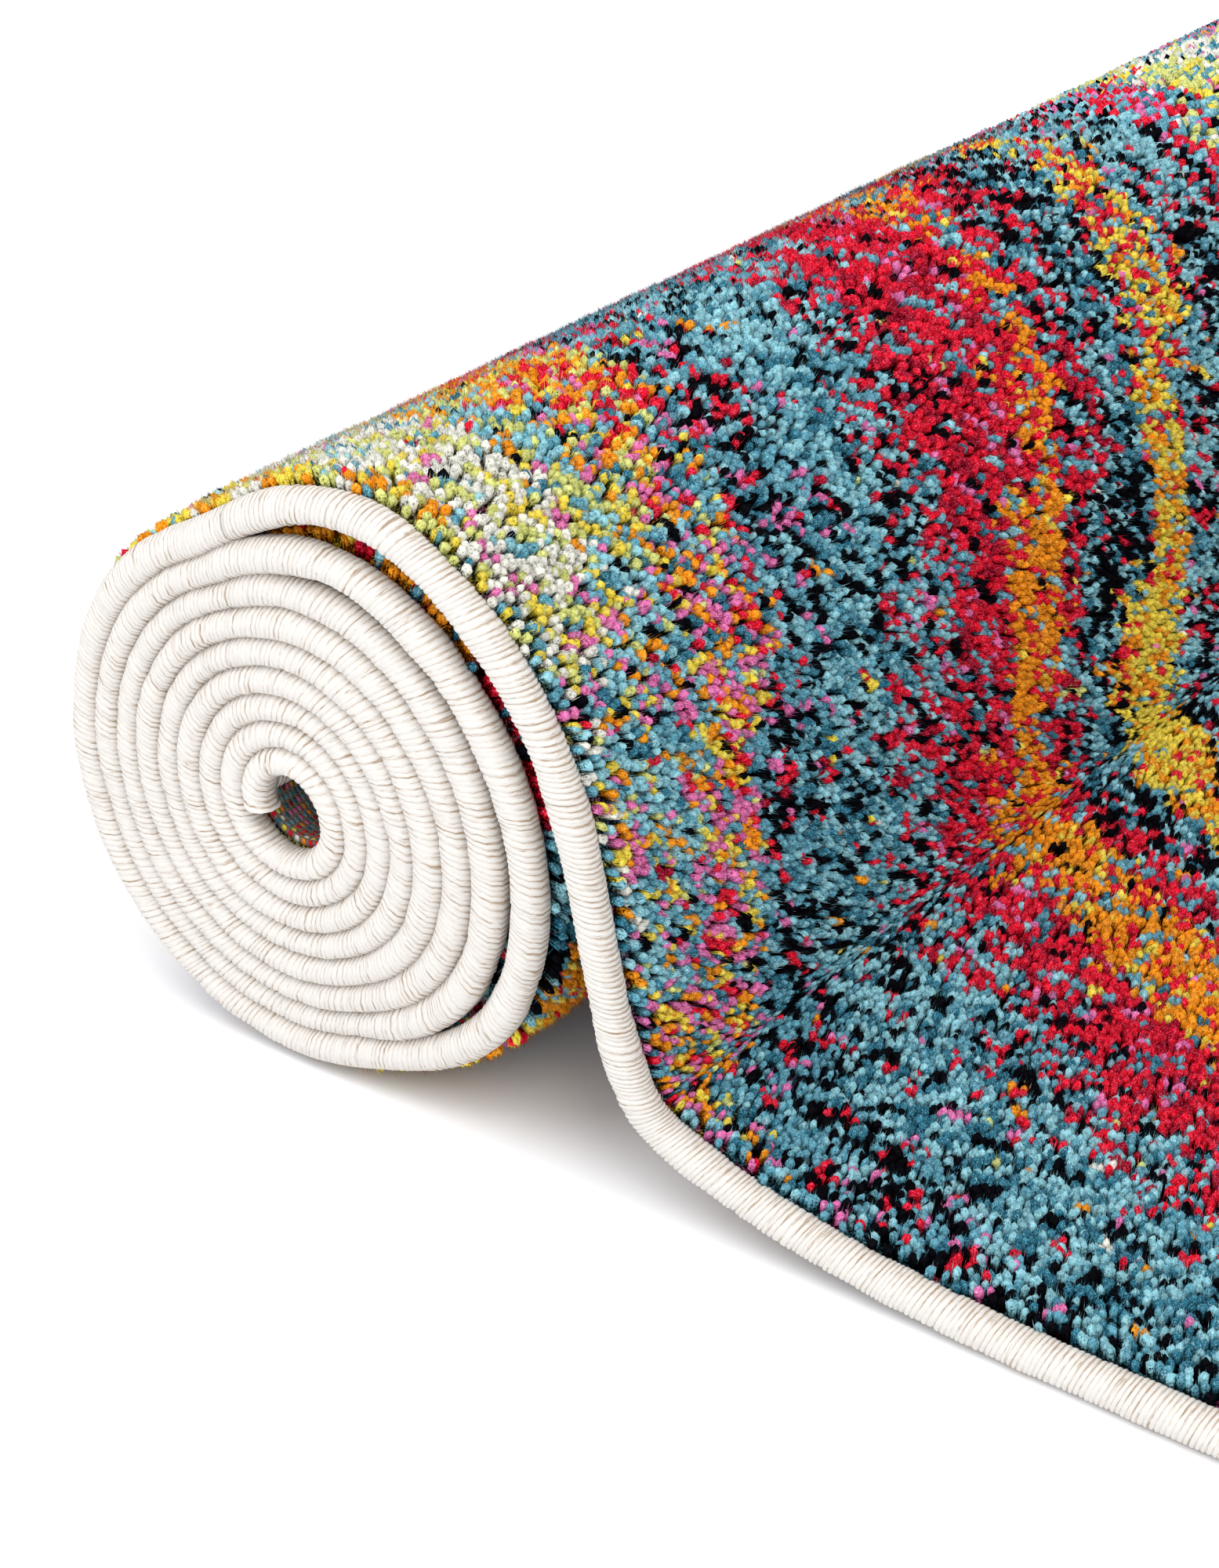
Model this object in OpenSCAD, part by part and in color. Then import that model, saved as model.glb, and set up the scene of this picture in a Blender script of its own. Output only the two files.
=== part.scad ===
// Area rug, wound pile side out, with its free end lying flat on the floor.
// The roll runs along Y, the free end points to +X and the floor is z = 0.
// The origin is the middle of the flat foot's underside.

/* [Rug] */
// Width of the rug, along the roll, binding included
rug_w = 1520; // [900:10:2400]
// Length of the rug as cut, binding included
rug_l = 2440; // [1500:10:3600]
// Thickness of the woven backing
backing_t = 2; // [1:0.1:3]
// Height of the pile above the backing where nothing presses on it
pile_h = 9; // [4:0.5:12]

/* [Binding] */
// How far the serged binding reaches in from each edge
binding_w = 9.5; // [6:0.5:14]
// Thickness of the serged binding where nothing presses on it
binding_t = 9.5; // [6:0.5:14]
// Width of the filler cord inside the binding
cord_w = 4; // [2:0.5:5]
// Thickness of the filler cord inside the binding
cord_t = 2.5; // [1:0.1:4]

/* [Roll] */
// Radius that the innermost turn winds round
core_r = 6; // [4:0.5:30]
// Distance from one tight turn to the next
turn_pitch = 6.8; // [5.6:0.1:14]
// Gap left free between neighbouring turns
turn_gap = 0.3; // [0.2:0.05:1]
// How far the outermost turn has sprung loose on the side of the free end
slack = 17; // [6:1:40]
// Share of that slack that each next turn inwards keeps
slack_keep = 0.5; // [0.3:0.05:0.6]

/* [Free end] */
// Height at which the rug coming off the roll bends towards the floor
bend_h = 22; // [14:1:40]
// Distance of that bend outwards from the roll's loose side
bend_out = 24; // [14:1:60]
// Distance along the floor from the bend to where the rug lies flat
landing_l = 112; // [70:1:200]
// Length of the flat foot that always stays on the floor
foot_l = 120; // [30:1:300]
// Length of each of the strips in which the free end lifts
strip_l = 50; // [30:1:90]
// Most that each strip folds up against the one before it
fold = 22; // [5:1:30]
// Gap between the backings of neighbouring strips
strip_gap = 0.3; // [0.2:0.05:1]

/* [Hidden] */

BACKING = "tan";
PILE = "steelblue";
BINDING = "ivory";
CORD = "wheat";

strips = 4;
rug_t = backing_t + pile_h;
field_w = rug_w - 2 * binding_w;

// Angles are measured round the roll from +X towards +Z, growing inwards turn
// by turn: 0 is the loose side of the outermost turn, 90 is the top of the roll.
angle_step = 10;
drape_start = 100;
drape_leaves = 20;
slack_from = -75;
slack_full = -25;
slack_eases = 65;
slack_ends = 115;
quarter = 90;

function smooth(t) = let (u = min(1, max(0, t))) u * u * (3 - 2 * u);

function side(a) = ((a + quarter) % 360) - quarter;

function slack_share(a) =
    smooth((side(a) - slack_from) / (slack_full - slack_from))
    * (1 - smooth((side(a) - slack_eases) / (slack_ends - slack_eases)));

// Radius of the backing's inner face at angle a, on a roll of n turns
function back_r(a, n) =
    core_r + turn_pitch * (n - a / 360)
    + slack * pow(slack_keep, floor((a + quarter) / 360)) * slack_share(a);

// Thickness that a layer t thick has at angle a, once the next turn presses on it
function pressed(a, t, n) =
    a < 360 + drape_leaves ? t : min(t, back_r(a - 360, n) - back_r(a, n) - turn_gap);

function around(a, r) = [r * cos(a), r * sin(a)];

// Height of the roll's axis above the floor, so that its pile just touches
function axis_h(n) =
    max([for (a = [180 : 5 : 350]) -(back_r(a, n) + pressed(a, rug_t, n)) * sin(a)]);

// The free run from the roll to the floor: two cubic curves, then the foot
function curve_at(p, t) =
    p[0] * pow(1 - t, 3) + 3 * p[1] * t * pow(1 - t, 2) + 3 * p[2] * t * t * (1 - t) + p[3] * pow(t, 3);
function curve_way(p, t) =
    (p[1] - p[0]) * pow(1 - t, 2) + 2 * (p[2] - p[1]) * t * (1 - t) + (p[3] - p[2]) * t * t;

fall_pull = 0.38;
bend_pull = 18;
bend_way = [cos(46), -sin(46)];
landing_pull = 0.55;

function loose_point(n) = [0, axis_h(n)] + around(drape_leaves, back_r(drape_leaves, n));
function bend_point(n) = [loose_point(n)[0] + bend_out, bend_h];
function landing_point(n) = [bend_point(n)[0] + landing_l, 0];

function fall_curve(n) =
    let (p = loose_point(n), q = bend_point(n), drop = p[1] - q[1])
    [p, p + fall_pull * drop * [sin(drape_leaves), -cos(drape_leaves)], q - bend_pull * bend_way, q];
function landing_curve(n) =
    let (q = bend_point(n), e = landing_point(n))
    [q, q + 0.7 * bend_pull * bend_way, e - [landing_pull * landing_l, 0], e];

curve_steps = 12;

function turn_left(v) = [-v[1], v[0]] / norm(v);

// Each station of the rug's path is [point on the backing's inner face, way to the pile]
function wound_stations(from, to, n) =
    let (steps = ceil((to - from) / angle_step))
    [for (i = [0 : steps])
        let (a = from + (to - from) * i / steps)
        [[0, axis_h(n)] + around(a, back_r(a, n)), around(a, 1), a]];

function curve_stations(p, first) =
    [for (i = [first : curve_steps])
        let (t = i / curve_steps)
        [curve_at(p, t), turn_left(curve_way(p, t)), 0]];

function reversed(v) = [for (i = [len(v) - 1 : -1 : 0]) v[i]];

function drape_stations(n) =
    concat(reversed(wound_stations(drape_leaves, drape_start, n)),
           curve_stations(fall_curve(n), 1), curve_stations(landing_curve(n), 1));

function path_length(s, i = 1) = i >= len(s) ? 0 : norm(s[i][0] - s[i - 1][0]) + path_length(s, i + 1);

tail_l = foot_l + strips * strip_l;

function length_with(n) =
    path_length(wound_stations(drape_start, 360 * n, n)) + path_length(drape_stations(n)) + tail_l;

// Number of turns that uses up the rug's length, found by halving
function turns_for(low, high, tries) =
    let (mid = (low + high) / 2)
    tries == 0 ? mid
    : length_with(mid) > rug_l ? turns_for(low, mid, tries - 1)
    : turns_for(mid, high, tries - 1);

turns = turns_for(1, 17, 14);
inner_end = 360 * turns;

// The binding across the inner end takes the last binding_w of the path
function angle_back(a, left) =
    left <= 0 ? a : angle_back(a - 1, left - back_r(a, turns) * PI / 180);
field_end = angle_back(inner_end, binding_w);

foot_x = landing_point(turns)[0];
origin_x = foot_x + foot_l / 2;
hinge_x = foot_x + foot_l;
rug_end_x = hinge_x + strips * strip_l;

roll_path = wound_stations(drape_start, field_end, turns);
roll_edge_path = wound_stations(drape_start, inner_end, turns);
core_end_path = wound_stations(field_end, inner_end, turns);
drape_path = drape_stations(turns);

function face(path, level) = [for (s = path) s[0] + s[1] * level];
function pressed_face(path, t) = [for (s = path) s[0] + s[1] * pressed(s[2], t, turns)];
function cord_face(path, half) = [for (s = path) s[0] + s[1] * (pressed(s[2], binding_t, turns) / 2 + half)];

// A slice of the rug between two heights on its path, from y = from to y = to
module slab(points, from, to) {
    translate([-origin_x, to, 0])
        rotate([90, 0, 0])
            linear_extrude(height = to - from)
                polygon(points);
}

module field_slab(points) {
    slab(points, -field_w / 2, field_w / 2);
}

front_from = -rug_w / 2;
front_to = -field_w / 2;
cord_inset = (binding_w - cord_w) / 2;

// An edge binding round its cord, at the front edge or, mirrored, at the back
module edge_binding(points, cord_points, back) {
    mirror([0, back ? 1 : 0, 0])
        difference() {
            slab(points, front_from, front_to);
            slab(cord_points, front_from + cord_inset, front_to - cord_inset);
        }
}

module edge_cord(cord_points, back) {
    mirror([0, back ? 1 : 0, 0])
        slab(cord_points, front_from + cord_inset, front_to - cord_inset);
}

// The wound part
roll_binding_outline = concat(face(roll_edge_path, 0), reversed(pressed_face(roll_edge_path, binding_t)));
roll_cord_path = wound_stations(drape_start, angle_back(inner_end, cord_inset), turns);
roll_cord_outline = concat(cord_face(roll_cord_path, -cord_t / 2), reversed(cord_face(roll_cord_path, cord_t / 2)));

module roll_backing() {
    color(BACKING)
        field_slab(concat(face(roll_path, 0), reversed(face(roll_path, backing_t))));
}

module roll_pile() {
    color(PILE)
        field_slab(concat(face(roll_path, backing_t), reversed(pressed_face(roll_path, rug_t))));
}

module roll_binding(back) {
    color(BINDING)
        edge_binding(roll_binding_outline, roll_cord_outline, back);
}

module roll_cord(back) {
    color(CORD)
        edge_cord(roll_cord_outline, back);
}

core_cord_path = wound_stations(
    angle_back(inner_end, (binding_w + cord_w) / 2), angle_back(inner_end, cord_inset), turns);
core_cord_outline =
    concat(cord_face(core_cord_path, -cord_t / 2), reversed(cord_face(core_cord_path, cord_t / 2)));

module core_end_binding() {
    color(BINDING)
        difference() {
            field_slab(concat(face(core_end_path, 0), reversed(pressed_face(core_end_path, binding_t))));
            field_slab(core_cord_outline);
        }
}

module core_end_cord() {
    color(CORD)
        field_slab(core_cord_outline);
}

// The run from the top of the roll down to the floor, with its flat foot
fold_lean = tan(fold / 2);
side_gap = strip_gap / 2;

// Ends of a strip: upright through the backing, leaning back above it for the fold
function strip_end(x, z, way) = [x + way * (side_gap + fold_lean * max(0, z - backing_t)), z];

foot_end = foot_x + foot_l;
function foot_edge(z) = strip_end(foot_end, z, -1);

module drape_layer(bottom, top) {
    field_slab(concat(face(drape_path, bottom), [foot_edge(bottom), foot_edge(top)],
                      reversed(face(drape_path, top))));
}

module drape_backing() {
    color(BACKING)
        drape_layer(0, backing_t);
}

module drape_pile() {
    color(PILE)
        drape_layer(backing_t, rug_t);
}

drape_binding_outline = concat(face(drape_path, 0), [foot_edge(0), foot_edge(backing_t), foot_edge(binding_t)],
                               reversed(face(drape_path, binding_t)));
cord_bottom = (binding_t - cord_t) / 2;
cord_top = (binding_t + cord_t) / 2;
drape_cord_outline = concat(face(drape_path, cord_bottom), [foot_edge(cord_bottom), foot_edge(cord_top)],
                            reversed(face(drape_path, cord_top)));

module drape_binding(back) {
    color(BINDING)
        edge_binding(drape_binding_outline, drape_cord_outline, back);
}

module drape_cord(back) {
    color(CORD)
        edge_cord(drape_cord_outline, back);
}

// The strips of the free end
function strip_from(k) = hinge_x + (k - 1) * strip_l;

function strip_outline(k, bottom, top, last) =
    let (from = strip_from(k), to = from + strip_l, z = max(bottom, min(top, backing_t)))
    concat([strip_end(from, bottom, 1)],
           [for (x = last >= 0 ? [to - last] : [], h = [bottom, top]) [x, h]],
           [for (h = last >= 0 ? [] : [bottom, z, top]) strip_end(to, h, -1)],
           [strip_end(from, top, 1), strip_end(from, z, 1)]);

// How far short of the strip's own end its parts stop: -1 where the next strip follows
function short_of_end(k, short) = k == strips ? short : -1;

module tail_backing(k) {
    color(BACKING)
        field_slab(strip_outline(k, 0, backing_t, short_of_end(k, binding_w)));
}

module tail_pile(k) {
    color(PILE)
        field_slab(strip_outline(k, backing_t, rug_t, short_of_end(k, binding_w)));
}

module tail_binding(k, back) {
    color(BINDING)
        edge_binding(strip_outline(k, 0, binding_t, short_of_end(k, 0)),
                     strip_outline(k, cord_bottom, cord_top, short_of_end(k, cord_inset)), back);
}

module tail_cord(k, back) {
    color(CORD)
        edge_cord(strip_outline(k, cord_bottom, cord_top, short_of_end(k, cord_inset)), back);
}

function box_outline(from, to, bottom, top) = [[from, bottom], [to, bottom], [to, top], [from, top]];
end_cord_outline = box_outline(rug_end_x - binding_w + cord_inset, rug_end_x - cord_inset, cord_bottom, cord_top);

module tail_end_binding() {
    color(BINDING)
        difference() {
            field_slab(box_outline(rug_end_x - binding_w, rug_end_x, 0, binding_t));
            field_slab(end_cord_outline);
        }
}

module tail_end_cord() {
    color(CORD)
        field_slab(end_cord_outline);
}

roll_backing();
roll_pile();
roll_binding(false);  // roll_front_binding
roll_binding(true);  // roll_back_binding
roll_cord(false);  // roll_front_cord
roll_cord(true);  // roll_back_cord
core_end_binding();
core_end_cord();
drape_backing();
drape_pile();
drape_binding(false);  // drape_front_binding
drape_binding(true);  // drape_back_binding
drape_cord(false);  // drape_front_cord
drape_cord(true);  // drape_back_cord
tail_backing(1);  // tail_1_backing
tail_pile(1);  // tail_1_pile
tail_binding(1, false);  // tail_1_front_binding
tail_binding(1, true);  // tail_1_back_binding
tail_cord(1, false);  // tail_1_front_cord
tail_cord(1, true);  // tail_1_back_cord
tail_backing(2);  // tail_2_backing
tail_pile(2);  // tail_2_pile
tail_binding(2, false);  // tail_2_front_binding
tail_binding(2, true);  // tail_2_back_binding
tail_cord(2, false);  // tail_2_front_cord
tail_cord(2, true);  // tail_2_back_cord
tail_backing(3);  // tail_3_backing
tail_pile(3);  // tail_3_pile
tail_binding(3, false);  // tail_3_front_binding
tail_binding(3, true);  // tail_3_back_binding
tail_cord(3, false);  // tail_3_front_cord
tail_cord(3, true);  // tail_3_back_cord
tail_backing(4);  // tail_4_backing
tail_pile(4);  // tail_4_pile
tail_binding(4, false);  // tail_4_front_binding
tail_binding(4, true);  // tail_4_back_binding
tail_cord(4, false);  // tail_4_front_cord
tail_cord(4, true);  // tail_4_back_cord
tail_end_binding();
tail_end_cord();
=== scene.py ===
"""Area rug wound pile side out, with its free end lying on the floor: meshes, finishes and studio."""

import logging
import math
from dataclasses import dataclass, field
from enum import Enum

import bpy
import numpy as np
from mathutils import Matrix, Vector

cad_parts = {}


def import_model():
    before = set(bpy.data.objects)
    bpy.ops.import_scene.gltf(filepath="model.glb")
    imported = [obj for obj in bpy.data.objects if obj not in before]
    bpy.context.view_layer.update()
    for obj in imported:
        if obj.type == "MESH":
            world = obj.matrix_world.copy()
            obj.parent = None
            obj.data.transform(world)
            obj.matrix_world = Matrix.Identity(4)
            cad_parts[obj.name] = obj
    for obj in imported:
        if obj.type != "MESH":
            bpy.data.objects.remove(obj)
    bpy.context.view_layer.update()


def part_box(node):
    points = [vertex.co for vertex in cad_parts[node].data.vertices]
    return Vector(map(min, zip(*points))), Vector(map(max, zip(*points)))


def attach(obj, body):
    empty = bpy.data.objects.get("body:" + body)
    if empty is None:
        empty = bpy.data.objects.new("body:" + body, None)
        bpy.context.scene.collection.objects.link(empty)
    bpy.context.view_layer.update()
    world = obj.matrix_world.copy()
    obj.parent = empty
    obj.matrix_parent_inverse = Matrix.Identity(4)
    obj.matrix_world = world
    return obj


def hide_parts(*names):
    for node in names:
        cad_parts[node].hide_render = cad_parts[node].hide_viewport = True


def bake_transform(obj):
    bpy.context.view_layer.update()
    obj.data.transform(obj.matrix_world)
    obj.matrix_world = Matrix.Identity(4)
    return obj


LOG = logging.getLogger("area_rug")
MM = 0.001
BAKE_MAP = "OFBake"
LATTICE = 128
FLECK_LATTICE = 1024


# Shader maths


class Value:
    """A number that a shader works out, so that maths on it reads as Python."""

    def __init__(self, graph: "Graph", socket: bpy.types.NodeSocket) -> None:
        """Wraps one output socket of a graph."""
        self.graph = graph
        self.socket = socket

    def _math(self, operation: str, a: "Value | float", b: "Value | float" = 0.0) -> "Value":
        """Adds a Math node and returns its result."""
        made = self.graph.node("ShaderNodeMath", {"operation": operation}, {0: a, 1: b})
        return Value(self.graph, made.outputs[0])

    def __add__(self, other: "Value | float") -> "Value":
        """Self plus other."""
        return self._math("ADD", self, other)

    __radd__ = __add__

    def __sub__(self, other: "Value | float") -> "Value":
        """Self minus other."""
        return self._math("SUBTRACT", self, other)

    def __rsub__(self, other: "Value | float") -> "Value":
        """Other minus self."""
        return self._math("SUBTRACT", other, self)

    def __mul__(self, other: "Value | float") -> "Value":
        """Self times other."""
        return self._math("MULTIPLY", self, other)

    __rmul__ = __mul__

    def cosine(self) -> "Value":
        """The cosine of self, which is in radians."""
        return self._math("COSINE", self)

    def between(self, low: float, high: float) -> "Value":
        """A soft step.

        Args:
            low: Where it starts to leave nought.
            high: Where it reaches one.

        Returns:
            The step's value at self.
        """
        made = self.graph.node(
            "ShaderNodeMapRange",
            {"interpolation_type": "SMOOTHSTEP"},
            {"Value": self, "From Min": low, "From Max": high},
        )
        return Value(self.graph, made.outputs[0])


class Graph:
    """One material's node tree, with its Principled shader."""

    def __init__(self, name: str, **constants: float | tuple) -> None:
        """Makes the material.

        Args:
            name: The material's name.
            constants: Values for the shader's own sockets, with _ for a space in their names.
        """
        self.material = bpy.data.materials.new(name)
        self.material.use_nodes = True
        self.tree = self.material.node_tree
        self.shader = next(n for n in self.tree.nodes if n.type == "BSDF_PRINCIPLED")
        for key, value in constants.items():
            self.shader.inputs[key.replace("_", " ")].default_value = value

    def node(self, kind: str, settings: dict | None = None, inputs: dict | None = None) -> bpy.types.Node:
        """Adds a node.

        Args:
            kind: The node's type.
            settings: What is set on the node first; "stops" is a colour ramp's list of (place, colour).
            inputs: The value, Value or socket for each input, by its name or number.

        Returns:
            The node.
        """
        made = self.tree.nodes.new(kind)
        for key, value in (settings or {}).items():
            if key == "stops":
                self._set_stops(made.color_ramp, value)
            else:
                setattr(made, key, value)
        for key, value in (inputs or {}).items():
            socket = made.inputs[key]
            if isinstance(value, Value):
                value = value.socket
            if isinstance(value, bpy.types.NodeSocket):
                self.tree.links.new(value, socket)
            else:
                socket.default_value = value
        return made

    @staticmethod
    def _set_stops(ramp: bpy.types.ColorRamp, stops: list) -> None:
        """Gives a ramp its stops.

        Args:
            ramp: A new ramp.
            stops: Its (place, colour) pairs, from left to right.
        """
        while len(ramp.elements) < len(stops):
            ramp.elements.new(1.0)
        for element, (place, colour) in zip(ramp.elements, stops):
            element.position = place
            element.color = (*colour, 1.0)

    def mix(self, share: Value | float, a: object, b: object) -> bpy.types.NodeSocket:
        """Mixes two colours.

        Args:
            share: How much of b there is, from nought to one.
            a: A colour, fixed or from a socket.
            b: Another such colour.

        Returns:
            The mixed colour.
        """
        a, b = ((*value, 1.0) if isinstance(value, tuple) else value for value in (a, b))
        return self.node("ShaderNodeMix", {"data_type": "RGBA"}, {0: share, 6: a, 7: b}).outputs[2]

    def times(self, colour: bpy.types.NodeSocket, shade: tuple) -> bpy.types.NodeSocket:
        """Colour multiplied by a fixed shade."""
        settings = {"data_type": "RGBA", "blend_type": "MULTIPLY"}
        return self.node("ShaderNodeMix", settings, {0: 1.0, 6: colour, 7: (*shade, 1.0)}).outputs[2]

    def place(self) -> bpy.types.NodeSocket:
        """A point's place on its own object."""
        return self.node("ShaderNodeTexCoord").outputs["Object"]

    def attribute(self, name: str, output: str) -> bpy.types.NodeSocket:
        """One output of a named mesh attribute."""
        return self.node("ShaderNodeAttribute", {"attribute_name": name}).outputs[output]

    def noise(self, at: bpy.types.NodeSocket, scale: float, detail: float = 2.0) -> Value:
        """A cloudy value round one half, read at a point."""
        made = self.node("ShaderNodeTexNoise", None, {"Vector": at, "Scale": scale, "Detail": detail})
        return Value(self, made.outputs[0])

    def stretched(self, at: bpy.types.NodeSocket, by: tuple) -> bpy.types.NodeSocket:
        """A point with each of its coordinates multiplied."""
        made = self.node("ShaderNodeVectorMath", {"operation": "MULTIPLY"}, {0: at, 1: by})
        return made.outputs[0]

    def bump(self, height: Value, strength: float, distance: float) -> None:
        """Feeds the shader's Normal from a height."""
        values = {"Strength": strength, "Distance": distance, "Height": height}
        self.feed("Normal", self.node("ShaderNodeBump", None, values).outputs[0])

    def feed(self, socket: str, value: Value | bpy.types.NodeSocket) -> None:
        """Links a value or colour to one of the shader's sockets."""
        self.tree.links.new(value.socket if isinstance(value, Value) else value, self.shader.inputs[socket])


# Yarns and finishes


class Yarn(Enum):
    """The pile's yarns, as linear colours."""

    TEAL = (0.100, 0.350, 0.460)
    DEEP_TEAL = (0.022, 0.160, 0.245)
    PALE_TEAL = (0.260, 0.600, 0.690)
    RED = (0.800, 0.004, 0.020)
    DARK_RED = (0.380, 0.002, 0.014)
    ORANGE = (0.960, 0.290, 0.005)
    YELLOW = (0.930, 0.700, 0.050)
    LIME = (0.700, 0.720, 0.190)
    PINK = (0.800, 0.150, 0.420)
    CREAM = (0.880, 0.860, 0.760)
    BLACK = (0.004, 0.004, 0.006)


YARNS = list(Yarn)
YARN_COLOURS = np.array([yarn.value for yarn in YARNS])
GROUND_COLUMN = len(YARNS)


@dataclass(frozen=True)
class PileFinish:
    """Cut wool-like pile: one yarn to a tuft, with painted shade darkening it towards the root and painted
    highlights and glints paling the fibre ends.
    """

    root_shade: float = 0.02
    highlight_gamma: float = 0.36
    painted_tip_highlight: float = 0.08
    painted_glints: float = 0.90
    fibres_round: float = 7.0
    fuzz_scale: float = 1500.0
    glint_scale: float = 3200.0
    relief: float = 0.5 * MM

    def material(self) -> bpy.types.Material:
        """Makes the material.

        Returns:
            The pile's material, which reads each tuft's yarn and each point's height in it, and paints shade
            low in the pile and highlights at its top.
        """
        graph = Graph("cut_pile", Roughness=0.95, Specular_IOR_Level=0.0)
        yarn = graph.attribute("yarn", "Color")
        height = Value(graph, graph.attribute("shade", "Fac"))
        inside = graph.attribute("tuft", "Vector")
        round_it = graph.node("ShaderNodeVectorMath", {"operation": "NORMALIZE"}, {0: inside}).outputs[0]
        fibres = graph.noise(round_it, self.fibres_round, 3.0)
        at = graph.place()
        fuzz = graph.noise(at, self.fuzz_scale, 3.0)
        glints = graph.noise(at, self.glint_scale, 1.0)
        lit = height + (fibres - 0.5) * 1.2 + (fuzz - 0.5) * 2.0
        # Painted shade: the yarn darkens towards root_shade low in the tuft, standing in for the shade
        # between tufts.
        shaded = graph.mix(lit.between(0.10, 0.85), graph.times(yarn, (self.root_shade,) * 3), yarn)
        pale = graph.node("ShaderNodeGamma", None, {0: yarn, 1: self.highlight_gamma}).outputs[0]
        # Painted highlights: the yarn pales at the tips and in glint flecks; the yarn's alpha weakens them on
        # the darkest yarns.
        share = lit.between(0.7, 1.3) * self.painted_tip_highlight
        share = share + lit.between(0.35, 0.8) * glints.between(0.54, 0.66) * self.painted_glints
        share = share * Value(graph, graph.attribute("yarn", "Alpha"))
        graph.feed("Base Color", graph.mix(share, shaded, pale))
        graph.bump(fuzz + fibres + glints * 0.5, 0.8, self.relief)
        return graph.material


@dataclass(frozen=True)
class SergeFinish:
    """Off-white yarn wound side by side over the rug's edge, with a warm painted shade in the grooves between
    wraps.
    """

    crest: tuple = (0.650, 0.618, 0.583)
    groove_shade: tuple = (0.33, 0.240, 0.160)
    relief: float = 0.4 * MM

    def material(self) -> bpy.types.Material:
        """Makes the material.

        Returns:
            The serging's material, which reads how deep a point lies between two wraps and paints the grooves
            in a warm shade.
        """
        graph = Graph("serged_yarn", Roughness=0.85, Specular_IOR_Level=0.1)
        depth = Value(graph, graph.attribute("wrap", "Fac"))
        along = graph.attribute("strand", "Vector")
        bent = graph.noise(graph.stretched(along, (0.12, 0.6, 0.6)), 1.0, 2.0)
        shift = graph.node("ShaderNodeCombineXYZ", None, {0: bent * 5.0})
        moved = {0: along, 1: shift.outputs[0]}
        wavy = graph.node("ShaderNodeVectorMath", {"operation": "ADD"}, moved).outputs[0]
        fibres = graph.noise(wavy, 1.0, 4.0)
        patches = graph.noise(along, 0.05, 2.0)
        threads = graph.noise(graph.stretched(wavy, (0.42, 0.25, 0.25)), 1.0, 2.0)
        # Painted shade: points deep between wraps and on the tube's pressed sides turn to the warm groove
        # colour; the dark thread lines are the yarn's own.
        height = depth + (fibres - 0.5) * 1.3 + (patches - 0.5) * 0.6 - threads.between(0.58, 0.72) * 0.55
        graph.feed("Base Color", graph.mix(height.between(-0.45, 0.60), self.groove_shade, self.crest))
        graph.bump(fibres, 0.7, self.relief)
        return graph.material


@dataclass(frozen=True)
class WovenBackFinish:
    """The back of the weave: a row of coloured knots between grey-brown warps."""

    knot_along: float = 2.0 * MM
    knot_across: float = 1.5 * MM
    dimming: float = 0.8
    warp: tuple = (0.21, 0.165, 0.125)
    fuzz: tuple = (0.6, 0.56, 0.5)
    fuzz_scale: float = 1800.0
    relief: float = 0.5 * MM
    order: tuple = (
        Yarn.DARK_RED, Yarn.TEAL, Yarn.PINK, Yarn.DEEP_TEAL, Yarn.TEAL,
        Yarn.ORANGE, Yarn.DEEP_TEAL, Yarn.YELLOW, Yarn.RED, Yarn.CREAM,
    )

    def material(self) -> bpy.types.Material:
        """Makes the material.

        Returns:
            The weave's material, laid out by the cloth's own length and width.
        """
        graph = Graph("woven_back", Roughness=0.9, Sheen_Weight=0.15, Specular_IOR_Level=0.15)
        cloth = graph.node("ShaderNodeUVMap", {"uv_map": "Cloth"}).outputs[0]
        cells = graph.stretched(cloth, (1 / self.knot_along, 1 / self.knot_across, 0))
        parts = graph.node("ShaderNodeSeparateXYZ", None, {0: cells})
        whole = graph.node("ShaderNodeVectorMath", {"operation": "FLOOR"}, {0: cells}).outputs[0]
        pick = graph.noise(graph.stretched(whole, (0.11, 0.21, 0)), 1.0, 3.0)
        flat = {"noise_dimensions": "2D"}
        stray = graph.node("ShaderNodeTexWhiteNoise", flat, {"Vector": whole}).outputs[0]
        choice = pick.between(0.30, 0.70) + (Value(graph, stray) - 0.5) * 0.5
        knots = [tuple(self.dimming * c for c in yarn.value) for yarn in self.order]
        stops = [(i / len(knots), colour) for i, colour in enumerate(knots)]
        ramp = graph.node("ShaderNodeValToRGB", {"stops": stops}, {0: choice})
        ramp.color_ramp.interpolation = "CONSTANT"
        rows = Value(graph, parts.outputs[1]) * (2 * math.pi)
        columns = Value(graph, parts.outputs[0]) * (2 * math.pi)
        hump = 1.0 - rows.cosine()
        gap = 1.0 - columns.cosine()
        knot = (hump * gap * 0.25).between(0.05, 0.40)
        fuzz = graph.noise(graph.place(), self.fuzz_scale, 2.0)
        coloured = graph.mix(knot, self.warp, ramp.outputs[0])
        graph.feed("Base Color", graph.mix(fuzz.between(0.55, 0.95) * 0.35, coloured, self.fuzz))
        graph.bump(knot + fuzz * 0.5, 0.8, self.relief)
        return graph.material


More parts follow.
